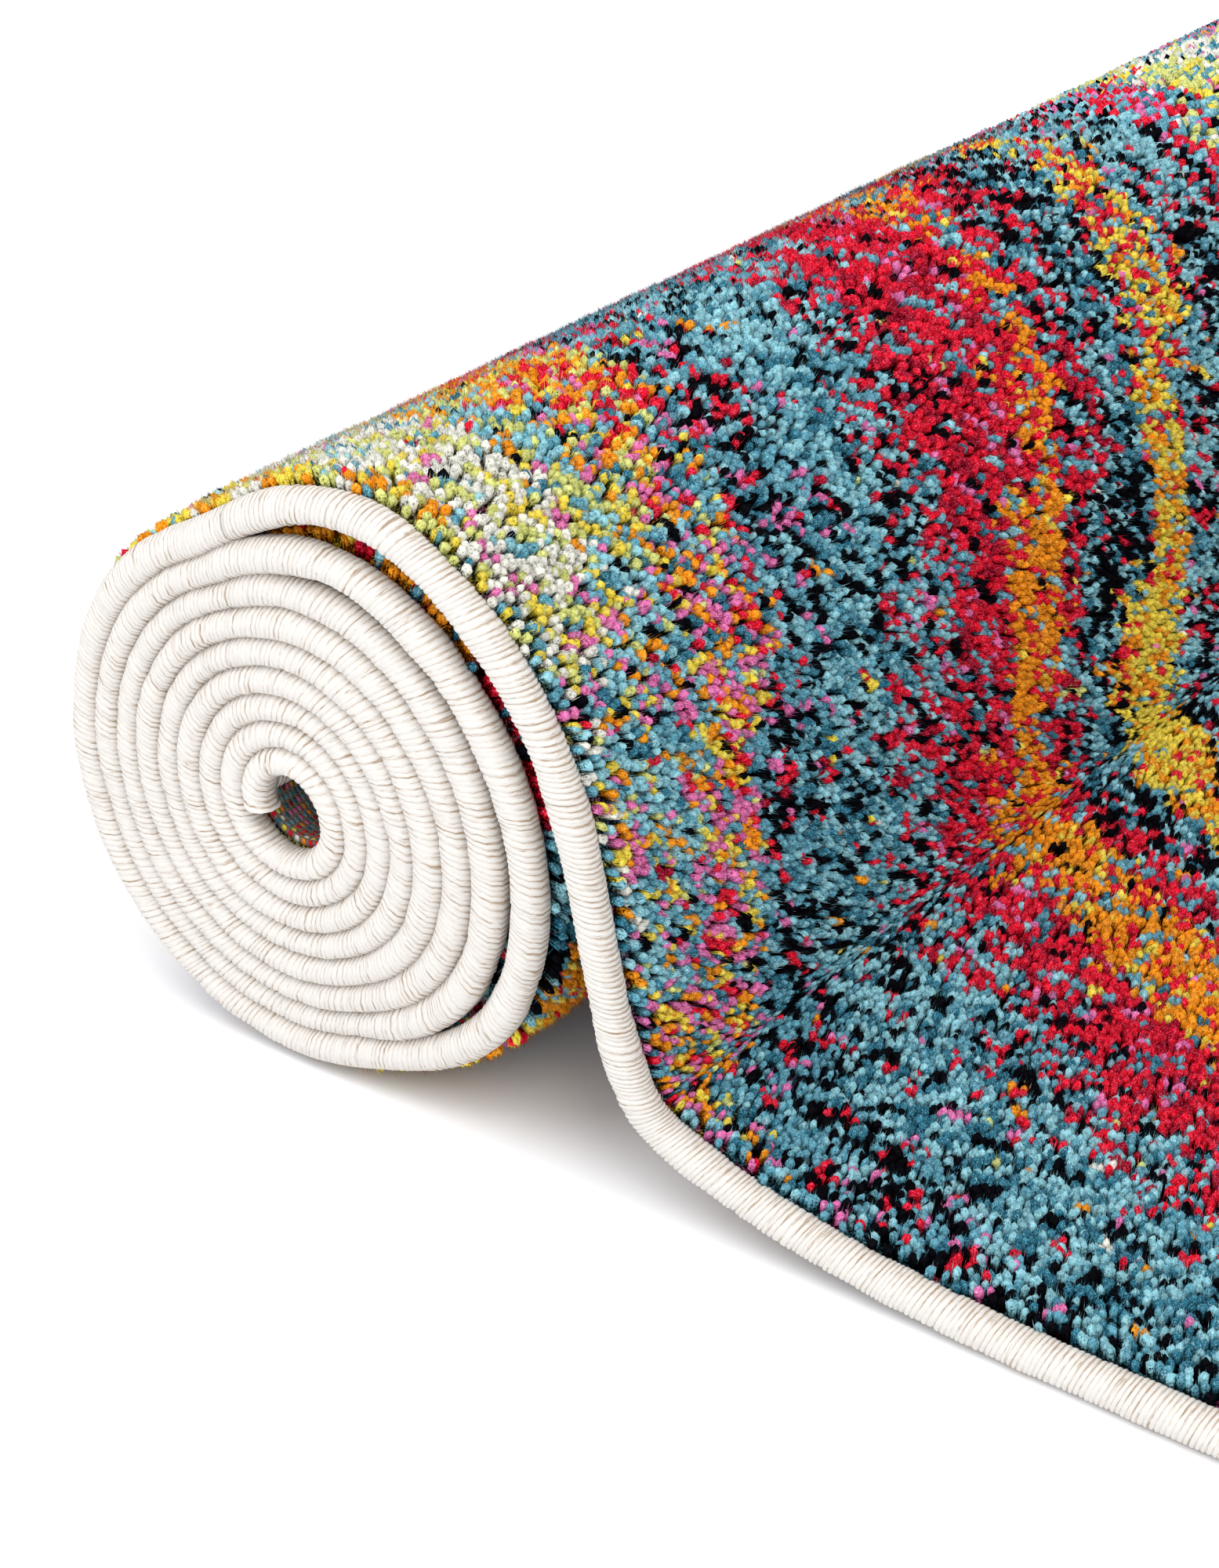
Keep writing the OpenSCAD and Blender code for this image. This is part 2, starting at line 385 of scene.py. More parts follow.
@dataclass(frozen=True)
class FloorFinish:
    """A plain pale floor."""

    colour: tuple = (0.93, 0.935, 0.95)
    mottle: float = 0.985
    far_glow: tuple = (0.45, 0.45, 0.45)

    def material(self) -> bpy.types.Material:
        """Makes the material.

        Returns:
            The floor's material, which is as bright far away as it is near the lamps.
        """
        graph = Graph("pale_floor", Roughness=0.8, Specular_IOR_Level=0.1, Emission_Strength=1.0)
        at = graph.place()
        mottle = graph.noise(at, 3.0, 2.0)
        darker = tuple(self.mottle * c for c in self.colour)
        graph.feed("Base Color", graph.mix(mottle.between(0.3, 0.7), self.colour, darker))
        away = graph.node("ShaderNodeVectorMath", {"operation": "LENGTH"}, {0: at}).outputs["Value"]
        far = Value(graph, away).between(1.0, 3.0)
        graph.feed("Emission Color", graph.mix(far, (0.0, 0.0, 0.0), self.far_glow))
        return graph.material


# Meshes from arrays


def make_piece(name: str, points: np.ndarray, faces: np.ndarray,
               material: bpy.types.Material) -> bpy.types.Object:
    """Makes a smooth-shaded mesh object.

    Args:
        name: The piece's name.
        points: One row of x, y and z per vertex.
        faces: One row of vertex numbers per face, all with as many corners.
        material: Its finish.

    Returns:
        The object, linked to the scene.
    """
    mesh = bpy.data.meshes.new(name)
    corners = faces.shape[1]
    mesh.vertices.add(len(points))
    mesh.vertices.foreach_set("co", np.ascontiguousarray(points, np.float32).ravel())
    mesh.loops.add(faces.size)
    mesh.loops.foreach_set("vertex_index", np.ascontiguousarray(faces, np.int32).ravel())
    mesh.polygons.add(len(faces))
    mesh.polygons.foreach_set("loop_start", np.arange(0, faces.size, corners, dtype=np.int32))
    mesh.update(calc_edges=True)
    mesh.shade_smooth()
    mesh.materials.append(material)
    made = bpy.data.objects.new(name, mesh)
    bpy.context.scene.collection.objects.link(made)
    return made


def set_attribute(piece: bpy.types.Object, name: str, kind: str, values: np.ndarray) -> None:
    """Gives each vertex of a piece a value.

    Args:
        piece: The piece.
        name: The attribute's name.
        kind: FLOAT, FLOAT_VECTOR or FLOAT_COLOR.
        values: One number or row per vertex.
    """
    slot = {"FLOAT": "value", "FLOAT_VECTOR": "vector", "FLOAT_COLOR": "color"}[kind]
    made = piece.data.attributes.new(name, kind, "POINT")
    made.data.foreach_set(slot, np.ascontiguousarray(values, np.float32).ravel())


def set_map(piece: bpy.types.Object, name: str, at: np.ndarray) -> None:
    """Gives a piece a UV map.

    Args:
        piece: The piece.
        name: The map's name.
        at: One place on the map per vertex.
    """
    corners = np.empty(len(piece.data.loops), np.int32)
    piece.data.loops.foreach_get("vertex_index", corners)
    layer = piece.data.uv_layers.new(name=name, do_init=False)
    layer.uv.foreach_set("vector", np.ascontiguousarray(at[corners], np.float32).ravel())


def grid_faces(rows: int, columns: int) -> np.ndarray:
    """Quads over a grid of vertices that is closed round its columns.

    Args:
        rows: Rows of vertices.
        columns: Vertices to a row, where the last is next to the first.

    Returns:
        One row of four vertex numbers per quad.
    """
    i, j = np.meshgrid(np.arange(rows - 1), np.arange(columns), indexing="ij")
    k = (j + 1) % columns
    corners = [i * columns + j, (i + 1) * columns + j, (i + 1) * columns + k, i * columns + k]
    return np.stack(corners, -1).reshape(-1, 4)


def slab_faces(rows: int, columns: int) -> np.ndarray:
    """Quads of a closed slab.

    Args:
        rows: Rows of vertices along the slab.
        columns: Vertices across its top; each row goes on with as many across its underside, backwards.

    Returns:
        One row of four vertex numbers per quad.
    """
    ends = []
    for row in (0, rows - 1):
        for j in range(columns - 1):
            a = 2 * columns * row + j
            b = 2 * columns * (row + 1) - 1 - j
            quad = (a, a + 1, b - 1, b)
            ends.append(quad if row == 0 else quad[::-1])
    return np.concatenate([grid_faces(rows, 2 * columns), np.array(ends)])


def triangles(quads: np.ndarray) -> np.ndarray:
    """Cuts quads in two, all first halves before all second ones."""
    return np.concatenate([quads[:, [0, 1, 2]], quads[:, [0, 2, 3]]])


def cloud(u: np.ndarray, v: np.ndarray, seed: int) -> np.ndarray:
    """A smooth random value over a plane.

    Args:
        u: Places one way, with about one hump to a unit.
        v: Places the other way.
        seed: Start of its random numbers.

    Returns:
        A value from nought to one at each place.
    """
    lattice = np.random.default_rng(seed).random((LATTICE, LATTICE))
    iu, iv = np.floor(u).astype(int), np.floor(v).astype(int)
    fu, fv = u - iu, v - iv
    fu, fv = fu * fu * (3 - 2 * fu), fv * fv * (3 - 2 * fv)
    ju, jv = (iu + 1) % LATTICE, (iv + 1) % LATTICE
    iu, iv = iu % LATTICE, iv % LATTICE
    a, b, c, d = lattice[iu, iv], lattice[ju, iv], lattice[iu, jv], lattice[ju, jv]
    return (a * (1 - fu) + b * fu) * (1 - fv) + (c * (1 - fu) + d * fu) * fv


# The rug's path


def smooth_step(t: np.ndarray) -> np.ndarray:
    """Nought below nought, one above one, and a soft step between."""
    u = np.clip(t, 0.0, 1.0)
    return u * u * (3 - 2 * u)


@dataclass
class RollPath:
    """The line that the rug's backing follows in the XZ plane, from its inner end to its free end."""

    core_r: float = 6.0 * MM
    turn_pitch: float = 6.8 * MM
    turn_gap: float = 0.3 * MM
    slack: float = 17.0 * MM
    slack_keep: float = 0.5
    slack_from: float = -75.0
    slack_to: float = 65.0
    slack_over: float = 50.0
    turns: float = 8.5415
    rug_t: float = 11.0 * MM
    open_room: float = 20.0 * MM
    bend_h: float = 22.0 * MM
    bend_out: float = 24.0 * MM
    bend_pull: float = 18.0 * MM
    bend_past: float = 0.7
    bend_slope: float = 46.0
    fall_pull: float = 0.38
    landing_l: float = 112.0 * MM
    landing_pull: float = 0.55
    foot_l: float = 120.0 * MM
    strip_l: float = 50.0 * MM
    strips: int = 4
    leaves_at: float = 20.0

    def __post_init__(self) -> None:
        """Works out the line once, close enough together to read it by its length."""
        angles = np.arange(360 * self.turns, self.leaves_at, -0.5)
        angles = np.append(angles, self.leaves_at)
        radius = self.back_r(angles)
        turn = np.radians(np.arange(180.0, 351.0, 5.0))
        self.axis_z = float(np.max(-(self.back_r(np.degrees(turn)) + self.rug_t) * np.sin(turn)))
        c, s = np.cos(np.radians(angles)), np.sin(np.radians(angles))
        wound = np.stack([radius * c, self.axis_z + radius * s], 1)
        fall, landing = self._run(wound[-1])
        flat_l = self.foot_l + self.strips * self.strip_l
        flat = landing[-1] + np.stack([np.linspace(0, flat_l, 321), np.zeros(321)], 1)
        line = np.concatenate([wound, fall[1:], landing[1:], flat[1:]])
        self.axis_x = -(landing[-1][0] + self.foot_l / 2)
        line[:, 0] += self.axis_x
        self.at_s = np.concatenate([[0], np.cumsum(np.linalg.norm(np.diff(line, axis=0), axis=1))])
        self.line = line
        way = np.gradient(line, self.at_s, axis=0)
        way /= np.linalg.norm(way, axis=1, keepdims=True)
        self.way = way
        self.length = float(self.at_s[-1])
        self.wound_a, self.wound_s = angles[::-1], self.at_s[: len(angles)][::-1]
        room = np.full(len(line), self.open_room)
        pressed = angles > 360 + self.leaves_at
        between = self.back_r(angles - 360) - self.back_r(angles) - self.turn_gap
        room[: len(angles)][pressed] = between[pressed]
        self.room = room

    def back_r(self, a: np.ndarray) -> np.ndarray:
        """Radius of the backing's inner face.

        Args:
            a: Angles round the roll in degrees, which grow inwards turn by turn.

        Returns:
            The radius at each angle, with the slack that the outer turns have on their right side.
        """
        side = (a + 90) % 360 - 90
        opening = smooth_step((side - self.slack_from) / self.slack_over)
        share = opening * (1 - smooth_step((side - self.slack_to) / self.slack_over))
        kept = self.slack_keep ** np.floor((a + 90) / 360)
        return self.core_r + self.turn_pitch * (self.turns - a / 360) + self.slack * kept * share

    def _run(self, start: np.ndarray) -> tuple[np.ndarray, np.ndarray]:
        """The two curves from the roll down to the floor.

        Args:
            start: Where the line leaves the roll.

        Returns:
            The fall to the bend, and the landing from there to the flat.
        """
        leave, slope = math.radians(self.leaves_at), math.radians(self.bend_slope)
        bend = np.array([start[0] + self.bend_out, self.bend_h])
        bend_way = np.array([math.cos(slope), -math.sin(slope)])
        drop = start[1] - bend[1]
        down = self.fall_pull * drop * np.array([math.sin(leave), -math.cos(leave)])
        end = np.array([bend[0] + self.landing_l, 0.0])
        fall = self._curve(start, start + down, bend - self.bend_pull * bend_way, bend)
        reach = np.array([self.landing_pull * self.landing_l, 0.0])
        past = self.bend_past * self.bend_pull * bend_way
        return fall, self._curve(bend, bend + past, end - reach, end)

    @staticmethod
    def _curve(p: np.ndarray, q: np.ndarray, r: np.ndarray, e: np.ndarray) -> np.ndarray:
        """A cubic curve as 121 points."""
        t = np.linspace(0, 1, 121)[:, None]
        return p * (1 - t) ** 3 + 3 * q * t * (1 - t) ** 2 + 3 * r * t * t * (1 - t) + e * t**3

    def s_at_angle(self, a: float) -> float:
        """Length from the inner end to angle a."""
        return float(np.interp(a, self.wound_a, self.wound_s))

    def s_at_x(self, x: float) -> float:
        """Length from the inner end to a place x on the flat."""
        return self.length - (self.line[-1][0] - x)

    def hinge_x(self, number: int) -> float:
        """Where the hinge with a number lies on the flat; strip_l past one comes the next."""
        return 0.5 * self.foot_l + self.strip_l * (number - 1)

    def room_at(self, s: np.ndarray) -> np.ndarray:
        """Thickness left for the rug at length s."""
        return np.interp(s, self.at_s, self.room)

    def place(self, s: np.ndarray, y: np.ndarray, h: np.ndarray) -> np.ndarray:
        """Points on or in the rug.

        Args:
            s: Lengths along the rug from its inner end.
            y: Places across it.
            h: Heights over the backing's inner face.

        Returns:
            One x, y and z per point.
        """
        x, z = (np.interp(s, self.at_s, self.line[:, k]) for k in (0, 1))
        wx, wz = (np.interp(s, self.at_s, self.way[:, k]) for k in (0, 1))
        over = np.maximum(s - self.length, 0)
        return np.stack([x + over - wz * h, np.broadcast_to(y, x.shape), z + wx * h], -1)


# The pile's design


@dataclass(frozen=True)
class Band:
    """A stripe of the design: where it lies across the flow, how wide it is and its share of each yarn."""

    place: float
    width: float
    yarns: dict

    def share(self, flow: np.ndarray, repeat: float) -> np.ndarray:
        """How strongly the band shows.

        Args:
            flow: Places across the flow.
            repeat: The distance after which the bands come again.

        Returns:
            A value from nought to one at each place.
        """
        gap = (flow - self.place + repeat / 2) % repeat - repeat / 2
        return np.exp(-((gap / (0.5 * self.width)) ** 4))


BANDS = (
    Band(-0.102, 0.034, {Yarn.CREAM: 1.5, Yarn.YELLOW: 5.0, Yarn.LIME: 3.0, Yarn.ORANGE: 1.0}),
    Band(-0.070, 0.034, {Yarn.CREAM: 9.0, Yarn.YELLOW: 1.0, Yarn.LIME: 3.5, Yarn.PINK: 0.8}),
    Band(-0.044, 0.026, {
        Yarn.YELLOW: 0.7, Yarn.PINK: 0.5, Yarn.ORANGE: 0.9, Yarn.PALE_TEAL: 1.6, Yarn.LIME: 1.6,
    }),
    Band(-0.016, 0.032, {Yarn.ORANGE: 2.4, Yarn.PINK: 1.7, Yarn.RED: 1.6, Yarn.YELLOW: 1.1, Yarn.LIME: 1.4}),
    Band(0.020, 0.032, {Yarn.RED: 0.9, Yarn.BLACK: 1.8, Yarn.TEAL: 1.2, Yarn.PINK: 0.3}),
    Band(0.052, 0.034, {Yarn.BLACK: 1.2, Yarn.DEEP_TEAL: 1.2, Yarn.PALE_TEAL: 2.2}),
    Band(0.081, 0.026, {
        Yarn.PALE_TEAL: 1.2, Yarn.TEAL: 1.2, Yarn.RED: 1.4, Yarn.BLACK: 0.9, Yarn.DARK_RED: 0.4,
    }),
    Band(0.110, 0.030, {Yarn.RED: 9.0, Yarn.DARK_RED: 2.4, Yarn.PINK: 0.8, Yarn.BLACK: 1.2}),
    Band(0.136, 0.028, {Yarn.ORANGE: 15.0, Yarn.RED: 3.0, Yarn.YELLOW: 1.5}),
    Band(0.155, 0.014, {Yarn.RED: 3.0, Yarn.DARK_RED: 1.2, Yarn.BLACK: 1.4}),
    Band(0.174, 0.022, {Yarn.BLACK: 3.0, Yarn.DEEP_TEAL: 0.8, Yarn.PALE_TEAL: 1.2, Yarn.RED: 0.4}),
    Band(0.197, 0.026, {Yarn.ORANGE: 6.0, Yarn.YELLOW: 11.0, Yarn.RED: 1.5}),
    Band(0.228, 0.034, {Yarn.BLACK: 2.0, Yarn.PALE_TEAL: 2.0, Yarn.RED: 0.8}),
    Band(0.258, 0.028, {Yarn.RED: 1.8, Yarn.PINK: 1.0, Yarn.TEAL: 1.0}),
)


@dataclass
class Design:
    """Which yarn each knot has: a teal ground with flowing bands of short slanting flecks."""

    path: RollPath
    front_y: float
    fleck_l: float = 4.6 * MM
    fleck_w: float = 2.0 * MM
    repeat: float = 0.385
    flow_slope: float = 0.40
    flow_from: float = 0.35
    bend_near: float = 0.022
    bend_far: float = 0.070
    bend_from: float = 0.35
    bend_over: float = 0.20
    ragged: float = 0.020
    near_to: float = 0.03
    pale_from: float = 0.535
    warm_from: float = 0.55
    warm_to: float = 0.47
    ground: dict = field(
        default_factory=lambda: {
            Yarn.TEAL: 1.00, Yarn.DEEP_TEAL: 0.45, Yarn.PALE_TEAL: 0.60, Yarn.RED: 0.12,
            Yarn.DARK_RED: 0.05, Yarn.ORANGE: 0.03, Yarn.YELLOW: 0.03, Yarn.LIME: 0.03,
            Yarn.PINK: 0.07, Yarn.CREAM: 0.02, Yarn.BLACK: 0.24,
        }
    )

    def _fleck(self, s: np.ndarray, y: np.ndarray, seed: int) -> np.ndarray:
        """A random value that is the same over each slanting fleck.

        Args:
            s: Lengths along the rug.
            y: Places across it.
            seed: Start of its random numbers.

        Returns:
            A value from nought to one at each place.
        """
        along, over = (s + y) / math.sqrt(2), (y - s) / math.sqrt(2)
        v = over / self.fleck_w + 1.3 * cloud(s / 0.009, y / 0.009, 11)
        row = np.floor(v).astype(int)
        u = along / self.fleck_l + 1.6 * cloud(s / 0.011, y / 0.007, 12) + row * 0.618
        lattice = np.random.default_rng(seed).random((FLECK_LATTICE, FLECK_LATTICE))
        return lattice[np.floor(u).astype(int) % FLECK_LATTICE, row % FLECK_LATTICE]

    def yarn_at(self, s: np.ndarray, y: np.ndarray) -> np.ndarray:
        """Chooses the yarn of each knot.

        Args:
            s: The knots' lengths along the rug.
            y: Their places across it.

        Returns:
            The number of each knot's yarn in YARNS.
        """
        back, across = self.path.length - s, y - self.front_y
        flow = across - self.flow_slope * (back - self.flow_from)
        bend = self.bend_near + self.bend_far * smooth_step((across - self.bend_from) / self.bend_over)
        flow = flow + bend * (cloud(s / 0.16 + 4, y / 0.12, 21) - 0.5)
        flow = flow + self.ragged * (cloud(s / 0.03, y / 0.016, 22) - 0.5)
        strength = 0.45 + 1.2 * cloud(s / 0.07, y / 0.03, 23)
        shares = [band.share(flow, self.repeat) * strength for band in BANDS]
        heat = self._heat(back, 1 - smooth_step((flow - self.near_to) / 0.03))
        best = None
        for k, yarn in enumerate(YARNS):
            weight = self.ground[yarn] + sum(x * band.yarns.get(yarn, 0.0) for x, band in zip(shares, BANDS))
            weight = weight * heat.get(yarn, 1.0)
            luck = np.clip(0.999 * self._fleck(s + k, y, 40 + k) + 0.0005, 0.0005, 0.9995)
            score = np.log(weight) - np.log(-np.log(luck))
            if best is None:
                best, chosen = score, np.zeros(s.shape, int)
            else:
                chosen = np.where(score > best, k, chosen)
                best = np.maximum(score, best)
        return chosen

    def _heat(self, back: np.ndarray, near: np.ndarray) -> dict[Yarn, np.ndarray]:
        """How the pale and warm yarns come and go along the rug.

        Args:
            back: Lengths from the free end.
            near: One in the bands by the front edge and nought in the others.

        Returns:
            What some yarns' weights are multiplied by.
        """
        warmer = smooth_step((back - self.warm_from) / 0.06)
        cooler = 1 - 0.85 * smooth_step((back - self.warm_to) / 0.07)
        paler = near * (0.12 + 1.1 * smooth_step((back - self.pale_from) / 0.04)) + (1 - near)
        return {
            Yarn.CREAM: paler,
            Yarn.LIME: paler,
            Yarn.ORANGE: near * (0.5 + 1.8 * warmer) + (1 - near) * cooler,
            Yarn.YELLOW: near * (0.7 + 0.5 * warmer) + (1 - near) * cooler,
            Yarn.RED: near * (0.5 + 2.0 * warmer) + (1 - near),
        }


@dataclass(frozen=True)
class TuftShape:
    """How finely a tuft is made: sides round its dome, rings up its side and loose fibres."""

    sides: int
    rings: tuple
    fibres: int
    gap: float

    def faces(self) -> np.ndarray:
        """The triangles of one tuft.

        Returns:
            Three vertex numbers per triangle: the dome, closed below, and then the fibres.
        """
        n, found = self.sides, []
        for r in range(len(self.rings) - 1):
            for j in range(n):
                a, b = r * n + j, r * n + (j + 1) % n
                found += [(a, b, b + n), (a, b + n, a + n)]
        top = len(self.rings) * n
        found += [(top - n + j, top - n + (j + 1) % n, top) for j in range(n)]
        found += [(0, j + 1, j) for j in range(1, n - 1)]
        for f in range(self.fibres):
            a = top + 1 + 4 * f
            found += [(a, a + 1, a + 3), (a + 1, a + 2, a + 3), (a + 2, a, a + 3), (a, a + 2, a + 1)]
        return np.array(found)


FINE = TuftShape(sides=5, rings=((0.66, 0.28), (0.94, 0.84)), fibres=7, gap=2.1 * MM)
MEDIUM = TuftShape(sides=4, rings=((0.75, 0.30), (1.05, 0.80)), fibres=0, gap=2.6 * MM)
PLAIN = TuftShape(sides=4, rings=((1.12, 0.70),), fibres=0, gap=3.0 * MM)


@dataclass
class Patch:
    """Part of a piece of pile: its vertices, its triangles and what the finish reads at each vertex."""

    points: np.ndarray
    faces: np.ndarray
    yarn: np.ndarray
    shade: np.ndarray
    tuft: np.ndarray
    map: np.ndarray

    @staticmethod
    def joined(parts: list["Patch"]) -> "Patch":
        """Joins patches into one.

        Args:
            parts: The patches, in order.

        Returns:
            One patch with all their vertices and triangles.
        """
        starts = np.cumsum([0] + [len(part.points) for part in parts])
        faces = np.concatenate([part.faces + start for part, start in zip(parts, starts)])
        rest = {
            key: np.concatenate([getattr(part, key) for part in parts])
            for key in ("points", "yarn", "shade", "tuft", "map")
        }
        return Patch(faces=faces, **rest)


@dataclass
class TuftBatch:
    """Many tufts of one shape: how tall and wide each is, and how far its tip leans."""

    shape: TuftShape
    rng: np.random.Generator
    tall: np.ndarray
    radius: np.ndarray
    lean_s: np.ndarray
    lean_y: np.ndarray
    fibre_r: tuple = (0.11 * MM, 0.20 * MM)

    def _vertex(self, reach: np.ndarray, angle: np.ndarray, lean: float, height: np.ndarray,
                shade: np.ndarray | float, column: float) -> tuple:
        """One vertex of every tuft.

        Args:
            reach: How far it is from the tuft's own axis.
            angle: Which way it lies from there.
            lean: Its share of the tip's lean.
            height: Its height over the backing.
            shade: Its painted shade or highlight: low at the root, high at the tip.
            column: Its place across the yarn's column on the bake map.

        Returns:
            Its offset along the rug, its offset across, and the last three as arrays.
        """
        count = len(self.tall)
        along = reach * np.cos(angle) + self.lean_s * lean
        over = reach * np.sin(angle) + self.lean_y * lean
        return along, over, height, np.broadcast_to(shade, count), np.broadcast_to(column, count)

    def dome(self) -> list[tuple]:
        """The vertices of the domes.

        Returns:
            One entry per vertex of a tuft, ring by ring and then its tip.
        """
        count, sides = len(self.tall), self.shape.sides
        turn = self.rng.uniform(0, 2 * math.pi, count)
        found = []
        for wide, level in self.shape.rings:
            # Painted shade low on the dome, rising to a painted highlight at its tip.
            shade = 0.10 + 0.62 * (level - 0.36) / 0.44
            for j in range(sides):
                reach = self.radius * wide * self.rng.uniform(0.82, 1.18, count)
                height = self.tall * (level + self.rng.normal(0, 0.02, count))
                column = 0.1 + 0.8 * j / (sides - 1)
                angle = turn + 2 * math.pi * j / sides
                found.append(self._vertex(reach, angle, level, height, shade, column))
        found.append(self._vertex(0.0 * turn, turn, 1.0, self.tall * 0.97, 0.90, 0.5))
        return found

    def fibres(self) -> list[tuple]:
        """The vertices of the loose fibres.

        Returns:
            Four entries per fibre: its three-sided root and its tip.
        """
        count, found = len(self.tall), []
        for _ in range(self.shape.fibres):
            angle = self.rng.uniform(0, 2 * math.pi, count)
            out = self.radius * self.rng.uniform(0.2, 1.0, count)
            thin = self.rng.uniform(*self.fibre_r, count)
            # Painted highlight on each loose fibre's tip, stronger on some fibres than others.
            bright = self.rng.uniform(0.45, 1.40, count)
            for corner in range(3):
                side = angle + 2 * math.pi * corner / 3
                along, over, *rest = self._vertex(out, angle, 0.6, self.tall * 0.58, 0.20, 0.2 + 0.3 * corner)
                found.append((along + thin * np.cos(side), over + thin * np.sin(side), *rest))
            stray = out * (1.0 + self.rng.uniform(0.0, 0.45, count))
            height = self.tall * self.rng.uniform(0.94, 1.10, count)
            found.append(self._vertex(stray, angle, 1.3, height, bright, 0.5))
        return found


@dataclass
class Pile:
    """The rug's cut pile: a dense ground with a tuft on every knot where it can be seen."""

    path: RollPath
    design: Design
    front_y: float
    back_y: float
    material: bpy.types.Material
    backing_t: float = 2.0 * MM
    pile_h: float = 9.0 * MM
    loose_h: float = 2.0 * MM
    ground_share: float = 0.50
    ground_row: float = 2.5 * MM
    ground_column: float = 0.05
    ground_shade: float = 0.28
    row_share: float = 0.87
    jitter: float = 0.2
    tuft_r: float = 0.56
    lean: float = 0.30
    edge_lean: float = 1.8 * MM
    edge_lean_over: float = 3.0 * MM
    loose_room: float = 7.4 * MM
    rim: float = 6.0 * MM
    rim_share: float = 0.75
    pressed_share: float = 0.98
    stray_gap: float = 6.0 * MM
    stray_gap_wound: float = 7.0 * MM
    stray_r: float = 0.15 * MM
    stray_lift: float = 0.35 * MM
    binding_r: float = 5.0 * MM
    binding_top: float = 9.7 * MM

    def _placed(self, s: np.ndarray, y: np.ndarray, h: np.ndarray) -> np.ndarray:
        """Points in the pile.

        Args:
            s: Lengths along the rug.
            y: Places across it.
            h: Heights over the backing's inner face.

        Returns:
            One x, y and z per point, none of them under the floor.
        """
        points = self.path.place(s, y, h)
        points[..., 2] = np.maximum(points[..., 2], 0.0)
        return points

    def tufts(self, s0: float, s1: float, y0: float, y1: float, gap: float, seed: int) -> tuple:
        """The middles of the tufts on a stretch, a little out of line.

        Args:
            s0: Where it starts along the rug.
            s1: Where it ends along the rug.
            y0: Its front edge.
            y1: Its back edge.
            gap: The distance between tufts.
            seed: Start of its random numbers.

        Returns:
            The lengths along the rug, and the places across it.
        """
        rng = np.random.default_rng(seed)
        rows = max(1, round((s1 - s0) / (gap * self.row_share)))
        columns = max(1, round((y1 - y0) / gap))
        i, j = np.meshgrid(np.arange(rows), np.arange(columns), indexing="ij")
        s = s0 + (i + 0.5) * (s1 - s0) / rows
        y = y0 + (j + 0.25 + 0.5 * (i % 2)) * (y1 - y0) / columns
        s = s + rng.normal(0, self.jitter * gap, s.shape)
        y = np.clip(y + rng.normal(0, self.jitter * gap, s.shape), y0, y1)
        return s.ravel(), y.ravel()

    def tuft_patch(self, s: np.ndarray, y: np.ndarray, shape: TuftShape, seed: int) -> Patch:
        """Makes tufts.

        Args:
            s: Their middles' lengths along the rug.
            y: Their middles' places across it.
            shape: Their shape.
            seed: Start of their random numbers.

        Returns:
            The tufts as one patch.
        """
        rng = np.random.default_rng(seed)
        count = len(s)
        yarn = self.design.yarn_at(s, y)
        most = self.backing_t + self.pile_h + self.loose_h
        room = np.minimum(self.path.room_at(s), most) - self.backing_t
        tall = room * rng.uniform(0.90, 1.0, count) * (0.93 + 0.07 * cloud(s / 0.012, y / 0.012, 5))
        radius = self.tuft_r * shape.gap * rng.uniform(0.86, 1.16, count)
        lean_s = rng.normal(0.1, self.lean, count) * shape.gap
        lean_y = rng.normal(0.1, self.lean, count) * shape.gap
        by_back = np.exp((y - self.back_y) / self.edge_lean_over)
        by_front = np.exp((self.front_y - y) / self.edge_lean_over)
        lean_y += self.edge_lean * (by_back - by_front)
        batch = TuftBatch(shape, rng, tall, radius, lean_s, lean_y)
        ds, dy, h, shade, column = (np.stack(v, 1) for v in zip(*batch.dome(), *batch.fibres()))
        h = np.minimum(h, self.path.room_at(s)[:, None] - self.backing_t)
        points = self._placed(s[:, None] + ds, y[:, None] + dy, self.backing_t + h)
        size = points.shape[:2]
        inside = np.stack([ds - lean_s[:, None], dy - lean_y[:, None], np.zeros(size)], -1)
        inside = inside / radius[:, None, None]
        inside[..., 2] = np.repeat(rng.uniform(-0.6, 0.6, count)[:, None], size[1], 1)
        colours = YARN_COLOURS[yarn] * rng.uniform(0.8, 1.2, (count, 1))
        u = (yarn[:, None] + column) / (GROUND_COLUMN + 1)
        v = np.clip(0.02 + 0.75 * shade, 0.01, 0.99)
        faces = shape.faces()[None] + (np.arange(count) * size[1])[:, None, None]
        return Patch(
            points=points.reshape(-1, 3),
            faces=faces.reshape(-1, 3),
            yarn=np.repeat(colours, size[1], 0),
            shade=shade.ravel(),
            tuft=inside.reshape(-1, 3),
            map=np.stack([u, v], -1).reshape(-1, 2),
        )

